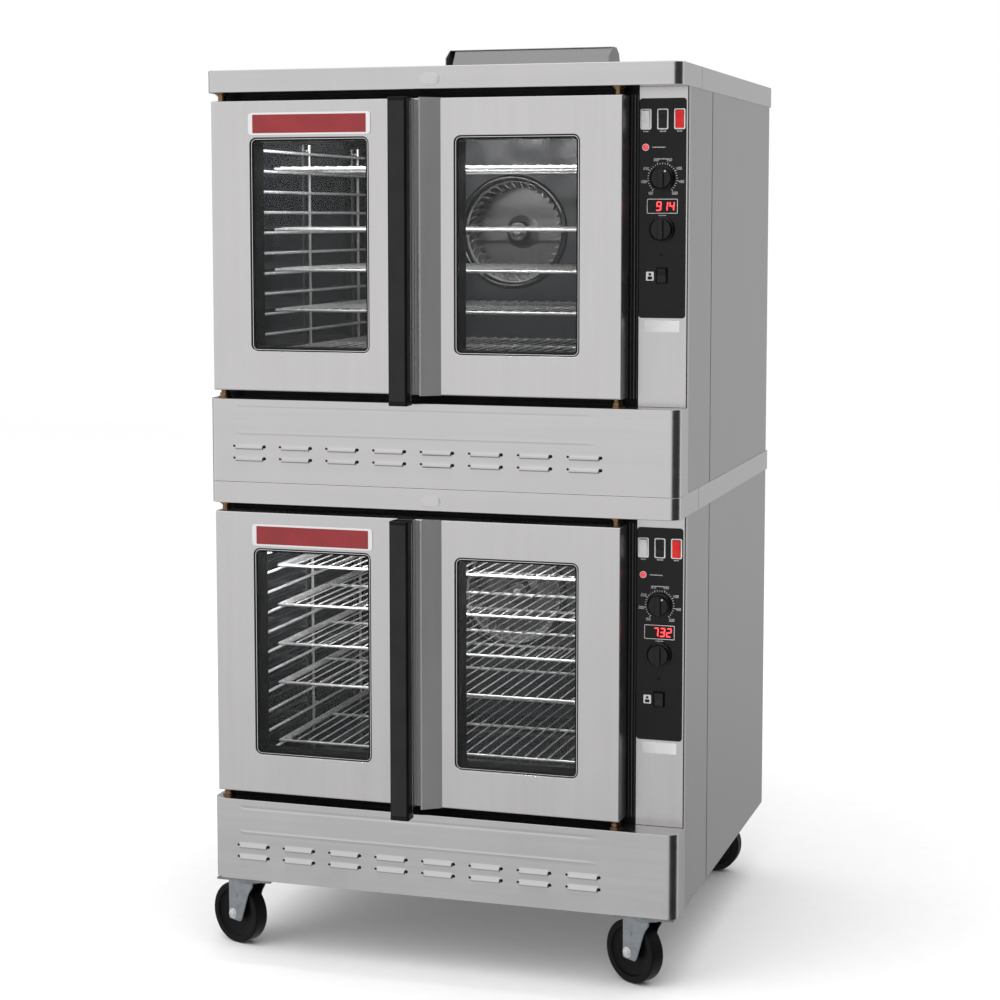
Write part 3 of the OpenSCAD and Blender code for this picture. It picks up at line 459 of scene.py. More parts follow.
class Bench:
    """Adds nodes to one material and joins them."""

    def __init__(self, name: str) -> None:
        """Starts a material with one Principled shader.

        Args:
            name: The material's name.
        """
        self.material = bpy.data.materials.new(name)
        self.material.use_nodes = True
        self.tree = self.material.node_tree
        self.shader = self.tree.nodes["Principled BSDF"]

    def node(self, kind: str, inputs: dict | None = None, **settings: object) -> bpy.types.Node:
        """Adds a node.

        Args:
            kind: The node's type.
            inputs: Values or sockets for its inputs.
            **settings: Its own properties.

        Returns:
            The node.
        """
        made = self.tree.nodes.new(kind)
        for key, value in settings.items():
            setattr(made, key, value)
        for key, value in (inputs or {}).items():
            if isinstance(value, bpy.types.NodeSocket):
                self.tree.links.new(value, made.inputs[key])
            else:
                made.inputs[key].default_value = value
        return made

    def noise(self, stretch: Sequence[float], detail: float = 3.0, rough: float = 0.6) -> bpy.types.NodeSocket:
        """Noise over the piece's own coordinates.

        Args:
            stretch: Cells a metre along each axis.
            detail: Layers of finer noise.
            rough: How strong the finer layers are.

        Returns:
            The noise's value.
        """
        place = self.node("ShaderNodeTexCoord").outputs["Object"]
        scaled = self.node("ShaderNodeMapping", {"Vector": place, "Scale": tuple(stretch)}).outputs[0]
        inputs = {"Vector": scaled, "Scale": 1.0, "Detail": detail, "Roughness": rough}
        return self.node("ShaderNodeTexNoise", inputs).outputs[0]

    def between(self, value: bpy.types.NodeSocket, low: float, high: float) -> bpy.types.NodeSocket:
        """Maps a noise's usual range, 0.3 to 0.7, to low and high."""
        inputs = {"Value": value, "From Min": 0.3, "From Max": 0.7, "To Min": low, "To Max": high}
        return self.node("ShaderNodeMapRange", inputs).outputs[0]

    def tint(self, value: bpy.types.NodeSocket, low: Colour, high: Colour) -> bpy.types.NodeSocket:
        """Maps a noise's usual range to two colours.

        Args:
            value: The noise.
            low: Colour at 0.3.
            high: Colour at 0.7.

        Returns:
            The colour.
        """
        ramp = self.node("ShaderNodeValToRGB", {"Fac": value})
        ramp.color_ramp.elements[0].position, ramp.color_ramp.elements[1].position = 0.3, 0.7
        ramp.color_ramp.elements[0].color, ramp.color_ramp.elements[1].color = low, high
        return ramp.outputs["Color"]

    def finish(
        self, colour: bpy.types.NodeSocket, roughness: bpy.types.NodeSocket,
        height: bpy.types.NodeSocket | None, depth: float, strength: float = 1.0, **values: float | Colour,
    ) -> bpy.types.Material:
        """Joins the patterns to the shader and sets its plain values.

        Args:
            colour: Base colour.
            roughness: Roughness.
            height: Height for the bump, if any.
            depth: Bump depth in metres.
            strength: Bump strength.
            **values: Plain inputs of the shader, with _ for a space.

        Returns:
            The material.
        """
        self.tree.links.new(colour, self.shader.inputs["Base Color"])
        self.tree.links.new(roughness, self.shader.inputs["Roughness"])
        if height is not None:
            bump = self.node("ShaderNodeBump", {"Height": height, "Distance": depth, "Strength": strength})
            self.tree.links.new(bump.outputs[0], self.shader.inputs["Normal"])
        for key, value in values.items():
            self.shader.inputs[key.replace("_", " ")].default_value = value
        return self.material


def shade(level: float, warm: float = 0.0) -> Colour:
    """A grey of one linear level, a little warmer or cooler."""
    return (level * (1 + warm), level, level * (1 - warm), 1.0)


@dataclass(frozen=True)
class BrushedSteel:
    """Stainless sheet with a fine straight grain, soft streaks and handling marks."""

    name: str
    level: float
    roughness: float
    along: Axis
    warm: float = 0.006
    depth: float = 0.00004
    metallic: float = 1.0

    def make(self) -> bpy.types.Material:
        """Streaks along the grain drive colour, roughness and bump; wide clouds stand for handling.

        Returns:
            The material.
        """
        bench = Bench(self.name)
        fine, wide = [900.0] * 3, [45.0] * 3
        fine[self.along.value], wide[self.along.value] = 6.0, 1.2
        streak, band = bench.noise(fine, 2.0), bench.noise(wide, 2.0)
        cloud = bench.noise([7.0, 7.0, 5.0], 4.0)
        mixed = bench.node("ShaderNodeMath", {0: band, 1: cloud}, operation="ADD").outputs[0]
        mixed = bench.node("ShaderNodeMath", {0: mixed, 1: 0.5}, operation="MULTIPLY").outputs[0]
        colour = bench.tint(mixed, shade(self.level * 0.94, self.warm), shade(self.level * 1.05, self.warm))
        rough = bench.between(mixed, self.roughness - 0.05, self.roughness + 0.05)
        return bench.finish(colour, rough, streak, self.depth, 0.5, Metallic=self.metallic, Anisotropic=0.35)


@dataclass(frozen=True)
class Enamel:
    """Glossy fired or painted coat with a faint orange peel."""

    name: str
    low: Colour
    high: Colour
    roughness: float
    coat: float = 0.6
    peel: float = 260.0
    depth: float = 0.00005
    specular: float = 0.5

    def make(self) -> bpy.types.Material:
        """Small cells give the peel, wide clouds the uneven gloss.

        Returns:
            The material.
        """
        bench = Bench(self.name)
        cells, cloud = bench.noise([self.peel] * 3, 2.0), bench.noise([14.0] * 3, 4.0)
        return bench.finish(
            bench.tint(cloud, self.low, self.high),
            bench.between(cloud, self.roughness * 0.75, self.roughness * 1.3),
            cells, self.depth, 0.4, Coat_Weight=self.coat, Coat_Roughness=0.05,
            Specular_IOR_Level=self.specular,
        )


@dataclass(frozen=True)
class BareMetal:
    """Plated, cast or polished metal with a mottled surface."""

    name: str
    low: Colour
    high: Colour
    roughness: float
    mottle: float = 90.0
    depth: float = 0.00006
    metallic: float = 1.0

    def make(self) -> bpy.types.Material:
        """Mottled noise drives colour and roughness, and fine noise the bump.

        Returns:
            The material.
        """
        bench = Bench(self.name)
        mottle, fine = bench.noise([self.mottle] * 3, 4.0), bench.noise([self.mottle * 6] * 3, 3.0)
        rough = bench.between(mottle, max(0.03, self.roughness - 0.06), self.roughness + 0.08)
        return bench.finish(
            bench.tint(mottle, self.low, self.high), rough, fine, self.depth, 0.4, Metallic=self.metallic
        )


@dataclass(frozen=True)
class Moulded:
    """Moulded plastic or rubber with a fine stipple."""

    name: str
    low: Colour
    high: Colour
    roughness: float
    stipple: float = 1400.0
    depth: float = 0.00006
    specular: float = 0.5

    def make(self) -> bpy.types.Material:
        """Stipple gives the bump, clouds of wear change colour and roughness.

        Returns:
            The material.
        """
        bench = Bench(self.name)
        stipple, wear = bench.noise([self.stipple] * 3, 2.0), bench.noise([22.0] * 3, 5.0)
        return bench.finish(
            bench.tint(wear, self.low, self.high),
            bench.between(wear, self.roughness - 0.06, self.roughness + 0.08),
            stipple, self.depth, 0.5, Specular_IOR_Level=self.specular,
        )


@dataclass(frozen=True)
class Pane:
    """Clear door glass, dark behind, with a few wiped smears."""

    name: str
    alpha: float = 0.09

    def make(self) -> bpy.types.Material:
        """A thin dark film of low alpha keeps its gloss and lets the chamber show.

        Returns:
            The material.
        """
        bench = Bench(self.name)
        smear = bench.noise([9.0, 9.0, 30.0], 5.0)
        colour = bench.tint(smear, (0.012, 0.014, 0.015, 1.0), (0.03, 0.034, 0.036, 1.0))
        return bench.finish(
            colour, bench.between(smear, 0.02, 0.08), None, 0.0, Alpha=self.alpha, Specular_IOR_Level=0.9
        )


@dataclass(frozen=True)
class Glow:
    """Lit segments or a lamp lens."""

    name: str
    colour: Colour
    strength: float

    def make(self) -> bpy.types.Material:
        """Emission on a slightly uneven coloured lens.

        Returns:
            The material.
        """
        bench = Bench(self.name)
        spots = bench.noise([700.0] * 3, 2.0)
        dark = tuple(c * 0.7 for c in self.colour[:3]) + (1.0,)
        return bench.finish(
            bench.tint(spots, dark, self.colour), bench.between(spots, 0.15, 0.3), None, 0.0,
            Emission_Color=self.colour, Emission_Strength=self.strength,
        )


class Look(Enum):
    """Every finish of the oven."""

    DOOR = BrushedSteel("door_stainless", 0.60, 0.30, Axis.Z)
    FRONT = BrushedSteel("front_stainless", 0.57, 0.23, Axis.X)
    FASCIA = BrushedSteel("fascia_stainless", 0.56, 0.26, Axis.Z)
    # The side and back sheets are painted darker than the front steel: painted shade of the faces turned from
    # the light.
    SIDE = BrushedSteel("side_stainless", 0.46, 0.34, Axis.Z)
    TOP = BrushedSteel("top_stainless", 0.57, 0.22, Axis.X)
    # The hood and deflector steel is painted dark: painted shade that dims the bright sky the hood reflects.
    HOOD = BrushedSteel("hood_stainless", 0.22, 0.34, Axis.X, metallic=0.7)
    WEDGE = BrushedSteel("wedge_stainless", 0.38, 0.52, Axis.Z, metallic=0.7)
    RAIL = BrushedSteel("rail_stainless", 0.36, 0.30, Axis.Z)
    # Near-black steel for the upright lips: painted shade of the gap beside the right doors.
    LIP = BrushedSteel("lip_steel", 0.09, 0.28, Axis.Z)
    PLATE = BrushedSteel("badge_silver", 0.86, 0.30, Axis.X)
    OVAL = BrushedSteel("oval_silver", 0.62, 0.28, Axis.X)
    GALVANISED = BareMetal("frame_steel", shade(0.20), shade(0.30), 0.42, 60.0)
    BLACK = Enamel("black_enamel", shade(0.003), shade(0.006), 0.42, 0.0, specular=0.14)
    PORCELAIN = Enamel("porcelain", (0.007, 0.008, 0.010, 1), (0.013, 0.015, 0.018, 1), 0.14, 0.3, 8.0, 0.0004)
    BAFFLE = Enamel("baffle_porcelain", (0.020, 0.021, 0.024, 1), (0.032, 0.034, 0.038, 1), 0.44, 0.0)
    RING = Enamel("ring_porcelain", shade(0.005), shade(0.009), 0.10, 0.6)
    BLANKET = Moulded("blanket", (0.62, 0.55, 0.32, 1), (0.80, 0.74, 0.50, 1), 0.85, 900.0, 0.002, 0.1)
    CHROME = BareMetal("rack_chrome", shade(0.66), shade(0.78), 0.16, 120.0, 0.00002)
    WIRE = BareMetal("rack_wire", shade(0.74), shade(0.86), 0.22, 120.0, 0.00002, 0.4)
    MOTOR = Enamel("motor_paint", (0.03, 0.05, 0.07, 1), (0.05, 0.075, 0.10, 1), 0.4, 0.2)
    BURNER = BareMetal("burner_steel", (0.30, 0.24, 0.17, 1), (0.48, 0.42, 0.34, 1), 0.38, 70.0)
    PANEL = Enamel("black_panel", shade(0.0035), shade(0.006), 0.14, 0.0, 420.0, 0.00001, 0.22)
    MARK = Moulded("dial_marks", shade(0.55), shade(0.72), 0.5)
    BEZEL = Moulded("switch_bezel", shade(0.80), shade(0.90), 0.30)
    WHITE = Moulded("switch_white", shade(0.62), shade(0.76), 0.28)
    SWITCH_BLACK = Moulded("switch_black", shade(0.006), shade(0.012), 0.25, specular=0.25)
    SWITCH_RED = Moulded("switch_red", (0.55, 0.010, 0.010, 1), (0.74, 0.022, 0.018, 1), 0.22, specular=0.3)
    KNOB = Moulded("knob_black", shade(0.0022), shade(0.005), 0.20, specular=0.3)
    GRIP = Moulded("grip_black", (0.0030, 0.0030, 0.0034, 1), (0.006, 0.006, 0.0066, 1), 0.36, specular=0.16)
    GRIP_FRONT = Moulded(
        "grip_charcoal", (0.0085, 0.0085, 0.0095, 1), (0.014, 0.014, 0.015, 1), 0.42, specular=0.28
    )
    BRASS = BareMetal("hinge_brass", (0.13, 0.075, 0.038, 1), (0.27, 0.17, 0.10, 1), 0.26, 140.0)
    FAN = BareMetal("blower_aluminised", shade(0.70), shade(0.82), 0.26, 30.0, 0.00001, 0.5)
    # The blower's back disc and hub are painted darker than its blades: painted shade deep inside the wheel.
    FAN_BACK = BareMetal("blower_back", shade(0.10), shade(0.15), 0.40, 60.0, 0.00001)
    ZINC = BareMetal("fork_zinc", (0.25, 0.28, 0.295, 1), (0.33, 0.36, 0.38, 1), 0.32, 60.0, 0.00001)
    RUBBER = Moulded("wheel_black", shade(0.002), shade(0.0045), 0.45, specular=0.12)
    GLASS = Pane("window_glass")
    LAMP = Glow("lamp_red", (0.85, 0.07, 0.09, 1.0), 0.5)
    DIGIT = Glow("display_red", (1.0, 0.03, 0.035, 1.0), 4.5)
    BADGE_RED = Enamel("badge_red", (0.20, 0.006, 0.010, 1), (0.27, 0.010, 0.014, 1), 0.22, 0.2)
    LABEL = Moulded("blank_label", shade(0.60), shade(0.70), 0.45)
    FLOOR = Moulded("studio_floor", shade(0.92), shade(0.94), 0.8, 300.0, 0.00002, 0.1)

    @property
    def material(self) -> bpy.types.Material:
        """The finish's material, made when first asked for.

        Returns:
            The material.
        """
        if self not in MADE:
            MADE[self] = self.value.make()
        return MADE[self]


MADE: dict[Look, bpy.types.Material] = {}


# --- Sub-assemblies --------------------------------------------------------------------


@dataclass
class SubAssembly:
    """A group of pieces that are made, dressed and reported together."""

    made: list[bpy.types.Object] = field(default_factory=list, init=False)

    def piece(
        self, shape: Shape, name: str, looks: Sequence[Look], body: str, slot: str, nodes: Sequence[str] = ()
    ) -> bpy.types.Object:
        """Builds a shape, dresses it and joins it to its body.

        Args:
            shape: The computed mesh.
            name: The piece's name.
            looks: Finishes, in the order of the shape's finish numbers.
            body: The body it rides on.
            slot: Its material slot in the record.
            nodes: CAD nodes that it stands for.

        Returns:
            The piece.
        """
        made = shape.build(name)
        for look in looks:
            made.data.materials.append(look.material)
        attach(made, body)
        if nodes:
            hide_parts(*nodes)
        self.made.append(made)
        return made

    def carry(self, look: Look, *nodes: str) -> None:
        """Dresses CAD nodes that are shown as they are.

        Args:
            look: Their finish.
            *nodes: Names of the nodes.
        """
        for node in nodes:
            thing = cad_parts[node]
            thing.data.materials.clear()
            thing.data.materials.append(look.material)
            self.made.append(thing)

    def report(self) -> None:
        """Tells the log every piece and its faces."""
        for thing in self.made:
            log.info("%-14s %-26s %6d faces", type(self).__name__, thing.name, len(thing.data.polygons))


@dataclass
class Casing(SubAssembly):
    """Base frame, sheets, trims, fascia, flue hood and badges."""

    trim_edge: float = 2.4
    seam_y: float = 172.5
    hood_x: tuple[float, float] = (-231.0, 141.0)
    lip_y: tuple[float, float] = (57.4, 61.5)
    upright_lips: tuple[tuple[float, float], ...] = ((374.5, 1.4), (380.5, 2.2), (386.5, 1.4))
    level_lips: tuple[float, ...] = (172.5, 765.0, 770.0)

    def build(self) -> None:
        """Makes the trims and badges and dresses the sheets."""
        for level in Level:
            tag, steel = level.label, "front_stainless"
            self.piece(self.trim(level), f"trim_{tag}", (Look.TOP, Look.BLACK), "casing", steel, ("top_trims",))
            self.piece(self.badge(level), f"trim_badge_{tag}", (Look.OVAL,), "casing", steel)
            self.piece(self.label(level), f"blank_label_{tag}", (Look.LABEL,), "casing", "switch_white")
        self.carry(Look.SIDE, "side_panels", "back_and_floor_pans")
        self.carry(Look.FASCIA, "control_fascias")
        self.carry(Look.HOOD, "flue_hood")
        self.carry(Look.GALVANISED, "base_frame", "door_sync_chains")
        self.carry(Look.BLACK, "front_frames")
        self.carry(Look.BLANKET, "insulation")
        self.carry(Look.MOTOR, "blower_motors")
        self.carry(Look.BURNER, "gas_burners")
        self.carry(Look.BRASS, "hinge_bushings")
        self.piece(self.deflector(), "flue_deflector", (Look.HOOD,), "casing", "front_stainless")
        self.piece(self.lips(), "frame_lips", (Look.BLACK, Look.LIP), "casing", "black_enamel")

    def deflector(self) -> Shape:
        """The sloping sheet inside the flue hood's open front: a thin strip's side view carried across."""
        side = [(788.0, 1842.0), (789.9, 1841.2), (818.9, 1883.0), (817.0, 1884.0)]
        return Shape().prism(np.array(side), Axis.X, self.hood_x[0], self.hood_x[1], 0.4)

    def lips(self) -> Shape:
        """Thin upright lips beside the right doors, in near-black steel that is painted shade of the gap there,
        and thin level lips above and below all doors.

        Returns:
            The lips of both ovens.
        """
        shape = Shape()
        y0, y1 = self.lip_y
        for level in Level:
            for x, w in self.upright_lips:
                shape.block((x, y0, level.base + 182), (x + w, y1, level.base + 762), 0.4, 1)
            for z in self.level_lips:
                shape.block((-470, y0, level.base + z), (384, y1, level.base + z + 1.6), 0.4)
        return shape

    def trim(self, level: Level) -> Shape:
        """A tray turned upside down: its plan carried up and over a rounded top edge.

        Args:
            level: The oven that it tops.

        Returns:
            The tray, its front lip and the dark seams at its sides.
        """
        z0, z1, e = level.base + BODY.trim_z, level.base + BODY.section - 0.05, self.trim_edge
        plan = shell_plan(BODY.width - 0.16, 0, BODY.depth, BODY.corner)
        inner = inset(plan, BODY.sheet)
        turn = np.linspace(0, np.pi / 2, 6)
        rings = [on_axis(Axis.Z, inner, z1 - BODY.sheet), on_axis(Axis.Z, inner, z0)]
        rings += [on_axis(Axis.Z, inset(plan, 0.8 * (1 - s)), z0 + 0.8 * s) for s in (0.0, 0.5, 1.0)]
        rings += [on_axis(Axis.Z, inset(plan, e * (1 - math.cos(t))), z1 - e + e * math.sin(t)) for t in turn]
        shape = Shape().loft(np.array(rings))
        lip = shell_plan(BODY.width - 3, 1.5, BODY.frame_y - 1, BODY.corner - 1.5)
        shape.prism(lip, Axis.Z, z0 + 0.1, z0 + 2, 0.4)
        for x in (-1, 1):
            low, high = (x * 485.5, self.seam_y - 0.6, z0 + 1), (x * 486.0, self.seam_y + 0.6, z1 - 1)
            shape.block(low, high, 0.1, 1)
        return shape

    def badge(self, level: Level) -> Shape:
        """A plain oval plate with a raised middle on the trim.

        Args:
            level: The oven whose trim it is on.

        Returns:
            The plate.
        """
        shape = Shape()
        z = level.base + 795.5
        outer, inner = round_rect(40, 25, 12.4, 10, (-13, z)), round_rect(34, 19, 9.4, 10, (-13, z))
        shape.prism(outer, Axis.Y, -1.0, 0.2, 0.5)
        shape.prism(inner, Axis.Y, -1.5, -0.6, 0.4)
        return shape

    def label(self, level: Level) -> Shape:
        """A plain label under the control plate."""
        outline = round_rect(68, 22, 1.2, 3, (436, level.base + 322.5))
        return Shape().prism(outline, Axis.Y, 58.75, 59.1, 0.1)


@dataclass
class LouvreCover(SubAssembly):
    """The lower cover of one oven, pressed with two rows of louvres and two faint beads."""

    level: Level = Level.LOWER
    height: float = 167.0
    depth: float = 72.0
    rows: tuple[float, ...] = (48.0, 72.0)
    louvre_w: float = 61.0
    louvre_h: float = 6.4
    rise: float = 3.6
    pitch: float = 99.5
    first: float = -428.0
    count: int = 8

    def build(self) -> None:
        """Makes the pressed sheet with black discs at the louvres' ends, painted shade of their open ends."""
        shape = self.sheet()
        name = f"louvre_cover_{self.level.label}"
        self.piece(shape, name, (Look.FRONT, Look.BLACK), "casing", "front_stainless", ("louvre_covers",))

    def press(self, x: Array, z: Array) -> Array:
        """How far the sheet stands out of its own plane.

        A louvre slopes out from its upper edge by a smooth step, 3 s^2 - 2 s^3, and turns back
        under its lower edge by a quarter cosine, times a round step at each end. The beads are bell
        curves along a line that fades out at both ends.

        Args:
            x: Place along the front.
            z: Height above the cover's lower edge.

        Returns:
            The rise at every point of the grid.
        """
        out = np.zeros(np.broadcast(x, z).shape)
        for start in self.first + self.pitch * np.arange(self.count):
            ends = np.clip((x - start) / 4, 0, 1) * np.clip((start + self.louvre_w - x) / 4, 0, 1)
            ends = np.sqrt(np.clip(1 - (1 - ends) ** 2, 0, 1))
            for row in self.rows:
                crest = row - 0.62 * self.louvre_h
                slope = np.clip((row + self.louvre_h - z) / (1.62 * self.louvre_h), 0, 1)
                under = np.clip((crest - z) / (0.38 * self.louvre_h), 0, 1)
                across = np.where(z < crest, np.cos(under * np.pi / 2), slope**2 * (3 - 2 * slope))
                out = out + self.rise * ends * across
        fade = np.clip((x + 432) / 14, 0, 1) * np.clip((330 - x) / 30, 0, 1)
        lift = 9 * np.clip((-x - 418) / 14, 0, 1) ** 2
        out = out + 0.35 * fade * np.exp(-(((z - 99 - lift) / 2.2) ** 2))
        return out - 0.3 * fade * np.exp(-(((z - 150 - lift) / 2.4) ** 2))

    def sheet(self) -> Shape:
        """The sheet: a plan path from one side return round both corners to the other, by height.

        Returns:
            The pressed sheet, its top flange and the black discs painted as shade at the louvres' ends.
        """
        r, half = BODY.corner, BODY.width / 2
        turn = np.linspace(0, np.pi / 2, 13)[1:-1]
        start = self.first + self.pitch * np.arange(self.count)
        near = np.array([-1, 0, 1, 2, 3, 4, 6])
        grid = np.concatenate([start[:, None] + near, start[:, None] + self.louvre_w - near], None)
        flat = np.linspace(-half + r, half - r, 150)
        x = np.unique(np.round(np.concatenate([grid.ravel(), flat]), 2))
        left = np.stack([-half + r - r * np.cos(turn), r - r * np.sin(turn), -np.cos(turn), -np.sin(turn)], -1)
        front = np.stack([x, np.zeros(len(x)), np.zeros(len(x)), -np.ones(len(x))], -1)
        right = left[::-1] * [-1, 1, -1, 1]
        back = [[-half, d, -1, 0] for d in (self.depth, 48.0, r)]
        path = np.concatenate([back, left, front, right, [[half, d, 1, 0] for d in (r, 48.0, self.depth)]])
        bands = [np.arange(row - 7, row + 7.01, 0.8) for row in self.rows]
        beads = (np.arange(92, 116, 1.5), [130.0], np.arange(143, 166, 1.5))
        z = np.concatenate([[0.0, 0.3, 1.0, 20.0], *bands, *beads])
        z = np.unique(np.concatenate([z, [self.height - 0.9, self.height - 0.3, self.height]]))
        edge = 1.0 - np.sqrt(np.clip(1 - np.clip((z - self.height + 1) / 1, 0, 1) ** 2, 0, 1))
        rise = self.press(path[:, :1], z[None]) * (path[:, 3:4] == -1) - edge
        normal = np.stack([path[:, 2], path[:, 3]], -1)
        outer = path[:, None, :2] + rise[..., None] * normal[:, None]
        inner = np.repeat(path[:, None, :2] - BODY.sheet * normal[:, None], 2, 1)
        plan = np.concatenate([outer, inner], 1)
        height = np.broadcast_to(np.concatenate([z, [self.height - 0.2, 0.0]]), plan.shape[:2])
        rings = np.concatenate([plan, height[..., None]], -1) + [0, 0, self.level.base]
        shape = Shape().loft(rings)
        flange = shell_plan(BODY.width - 3, 1.5, BODY.frame_y - 2, BODY.corner - 1.5)
        top = self.level.base + self.height
        shape.prism(flange, Axis.Z, top - 2.2, top - 0.3, 0.5)
        # Black discs at both ends of every louvre are painted shade of its open ends, larger at the right end.
        end_shade = Shape()
        for at in start:
            for row in self.rows:
                spot = (at - 2.6, 0, self.level.base + row)
                end_shade.lathe([(-0.35, 1.9), (-0.1, 2.4), (0.4, 2.4)], Axis.Y, spot, 1, 14)
                spot = (at + self.louvre_w + 2.2, 0, self.level.base + row - 0.5)
                end_shade.lathe([(-0.5, 2.9), (-0.1, 3.4), (0.4, 3.4)], Axis.Y, spot, 1, 16)
        return shape.take(end_shade)


@dataclass
class Door(SubAssembly):
    """One door: shell, window surround, panes, hinge pins, and its half of the meeting edge."""

    level: Level = Level.LOWER
    side: Side = Side.LEFT
    edge: float = 3.0
    window: tuple[float, float, float] = (251.0, 423.0, 13.0)
    shift: float = 1.5
    lift: float = 3.5
    seat: float = 7.0

    def build(self) -> None:
        """Makes the shell, the glass and, on the left door, the badge."""
        body = f"{self.side.label}_door_{self.level.label}"
        tag = f"{self.side.label}_{self.level.label}"
        edge = Look.WEDGE if self.side is Side.RIGHT else Look.RAIL
        looks = (Look.DOOR, Look.BLACK, edge, Look.BRASS, Look.CHROME)
        self.piece(self.shell(), f"door_shell_{tag}", looks, body, "door_stainless", (f"door_{tag}",))
        glass = Shape()
        for y in (3.0, BODY.door_t - 6):
            w, h, r = self.window
            glass.prism(self.outline(w - 0.6, h - 0.6, r), Axis.Y, y, y + 3, 0.4)
        self.piece(glass, f"panes_{tag}", (Look.GLASS,), body, "window_glass", (f"door_window_{tag}",))
        if self.side is Side.LEFT:
            self.piece(self.badge(), f"door_badge_{tag}", (Look.PLATE, Look.BADGE_RED), body, "front_stainless")

    @property
    def centre(self) -> tuple[float, float]:
        """Middle of the door's front face."""
        x = BODY.doors_cx + self.side.value * (BODY.door_gap + BODY.door_w) / 2
        return x, self.level.base + (BODY.door_z0 + BODY.door_z1) / 2

    def outline(self, w: float, h: float, r: float) -> Array:
        """Outline of the window's size, round the window's own middle."""
        x, z = self.centre
        return round_rect(w, h, r, 8, (x + self.side.value * self.shift, z + self.lift))

    def shell(self) -> Shape:
        """A closed section carried round the door: window lip, front face, outer edge, back face and seat.

        Every ring is a round-cornered outline at one depth, between the window's outline and the
        door's, so the faces between them are flat and the edges quarter circles.

        Returns:
            The shell with its pins and meeting strip.
        """
        w, h, r = self.window
        t, e = BODY.door_t, self.edge
        door_w, door_h = BODY.door_w, BODY.door_z1 - BODY.door_z0

        def door(cut: float) -> Array:
            """The door's outline set in by a cut."""
            return round_rect(door_w - 2 * cut, door_h - 2 * cut, max(1.2 - cut, 0.3), 8, self.centre)

        def pane(grow: float) -> Array:
            """The window's outline grown on every side."""
            return self.outline(w + 2 * grow, h + 2 * grow, r + grow)

        turn = np.linspace(0, np.pi / 2, 5)
        lip = 1.4
        rings: list[tuple[Array, float]] = []
        rings += [(pane(lip * (1 - math.sin(a))), lip * (1 - math.cos(a))) for a in turn]
        rings += [(pane(0), 2.6), (pane(-2.2), 2.8), (pane(-2.4), 2.2), (pane(-3.4), 2.2), (pane(-3.6), 2.8)]
        rings += [(pane(-self.seat + 0.6), 3.0), (pane(-self.seat), 3.6), (pane(-self.seat), t - 3.6)]
        rings += [(pane(-self.seat + 0.6), t - 3.0), (pane(0), t - 2.8), (pane(0), t - 0.6), (pane(0.6), t)]
        rings += [(door(1.0), t), (door(0.3), t - 0.3), (door(0), t - 1.0)]
        rings += [(door(e * (1 - math.cos(a))), e * (1 - math.sin(a))) for a in turn]
        marks = np.repeat([0, 1, 0], [4, 13, 8])
        marks[7] = 4
        shape = Shape().ring(rings, Axis.Y, marks)
        shape.take(self.hinges())
        z0, z1 = self.level.base + BODY.door_z0, self.level.base + BODY.door_z1
        if self.side is Side.LEFT:
            rail = [(-80.5, 0.6), (-80.5, -14), (-44.5, -14), (-44.5, -1), (-53.5, 0.6)]
            shape.prism(eased(rail, 1.2, 2), Axis.Z, z0, z1, 0.5, 2)
            shape.block((-56, -1.0, z0 + 0.2), (-53.4, 1.4, z1 - 0.2), 0.3, 2)
        else:
            wedge = [(-27, 0.8), (-27, -25), (-23.6, -25), (10, 0), (10, 0.8)]
            shape.prism(eased(wedge, 1.0, 3), Axis.Z, z0, z1, 0.6, 2)
        return shape

    def hinges(self) -> Shape:
        """The pins above and below the door and the lower sprocket, whose radius is 15.2 + 0.8 cos 14 t.

        Returns:
            The pins and the sprocket.
        """
        shape = Shape()
        x, base = BODY.doors_cx + self.side.value * BODY.hinge_x, self.level.base
        for low, high in ((147.0, 186.0), (758.0, 786.0)):
            r = BODY.pin_r - 0.02
            ends = [(low, r - 1), (low + 1, r), (high - 1, r), (high, r - 1)]
            shape.lathe(ends, Axis.Z, (x, BODY.hinge_y, base), 3, 32)
        turn = np.linspace(0, 2 * np.pi, 112, endpoint=False)
        reach = 15.2 + 0.8 * np.cos(14 * turn)
        teeth = np.stack([x + reach * np.cos(turn), BODY.hinge_y + reach * np.sin(turn)], -1)
        return shape.prism(teeth, Axis.Z, base + 148, base + 156, 0.4, 3, 1)

    def badge(self) -> Shape:
        """A plain plate over the window: a silver rim round a dark red field.

        Returns:
            The plate.
        """
        shape = Shape()
        x, z = -263.5, self.level.base + 714
        outer = round_rect(259, 44, 7, 6, (x, z))
        field_edge = round_rect(240, 36.5, 1.5, 6, (x, z))
        shape.prism(outer, Axis.Y, -1.2, 0.3, 0.6)
        shape.prism(field_edge, Axis.Y, -1.5, -0.8, 0.25, 1)
        return shape


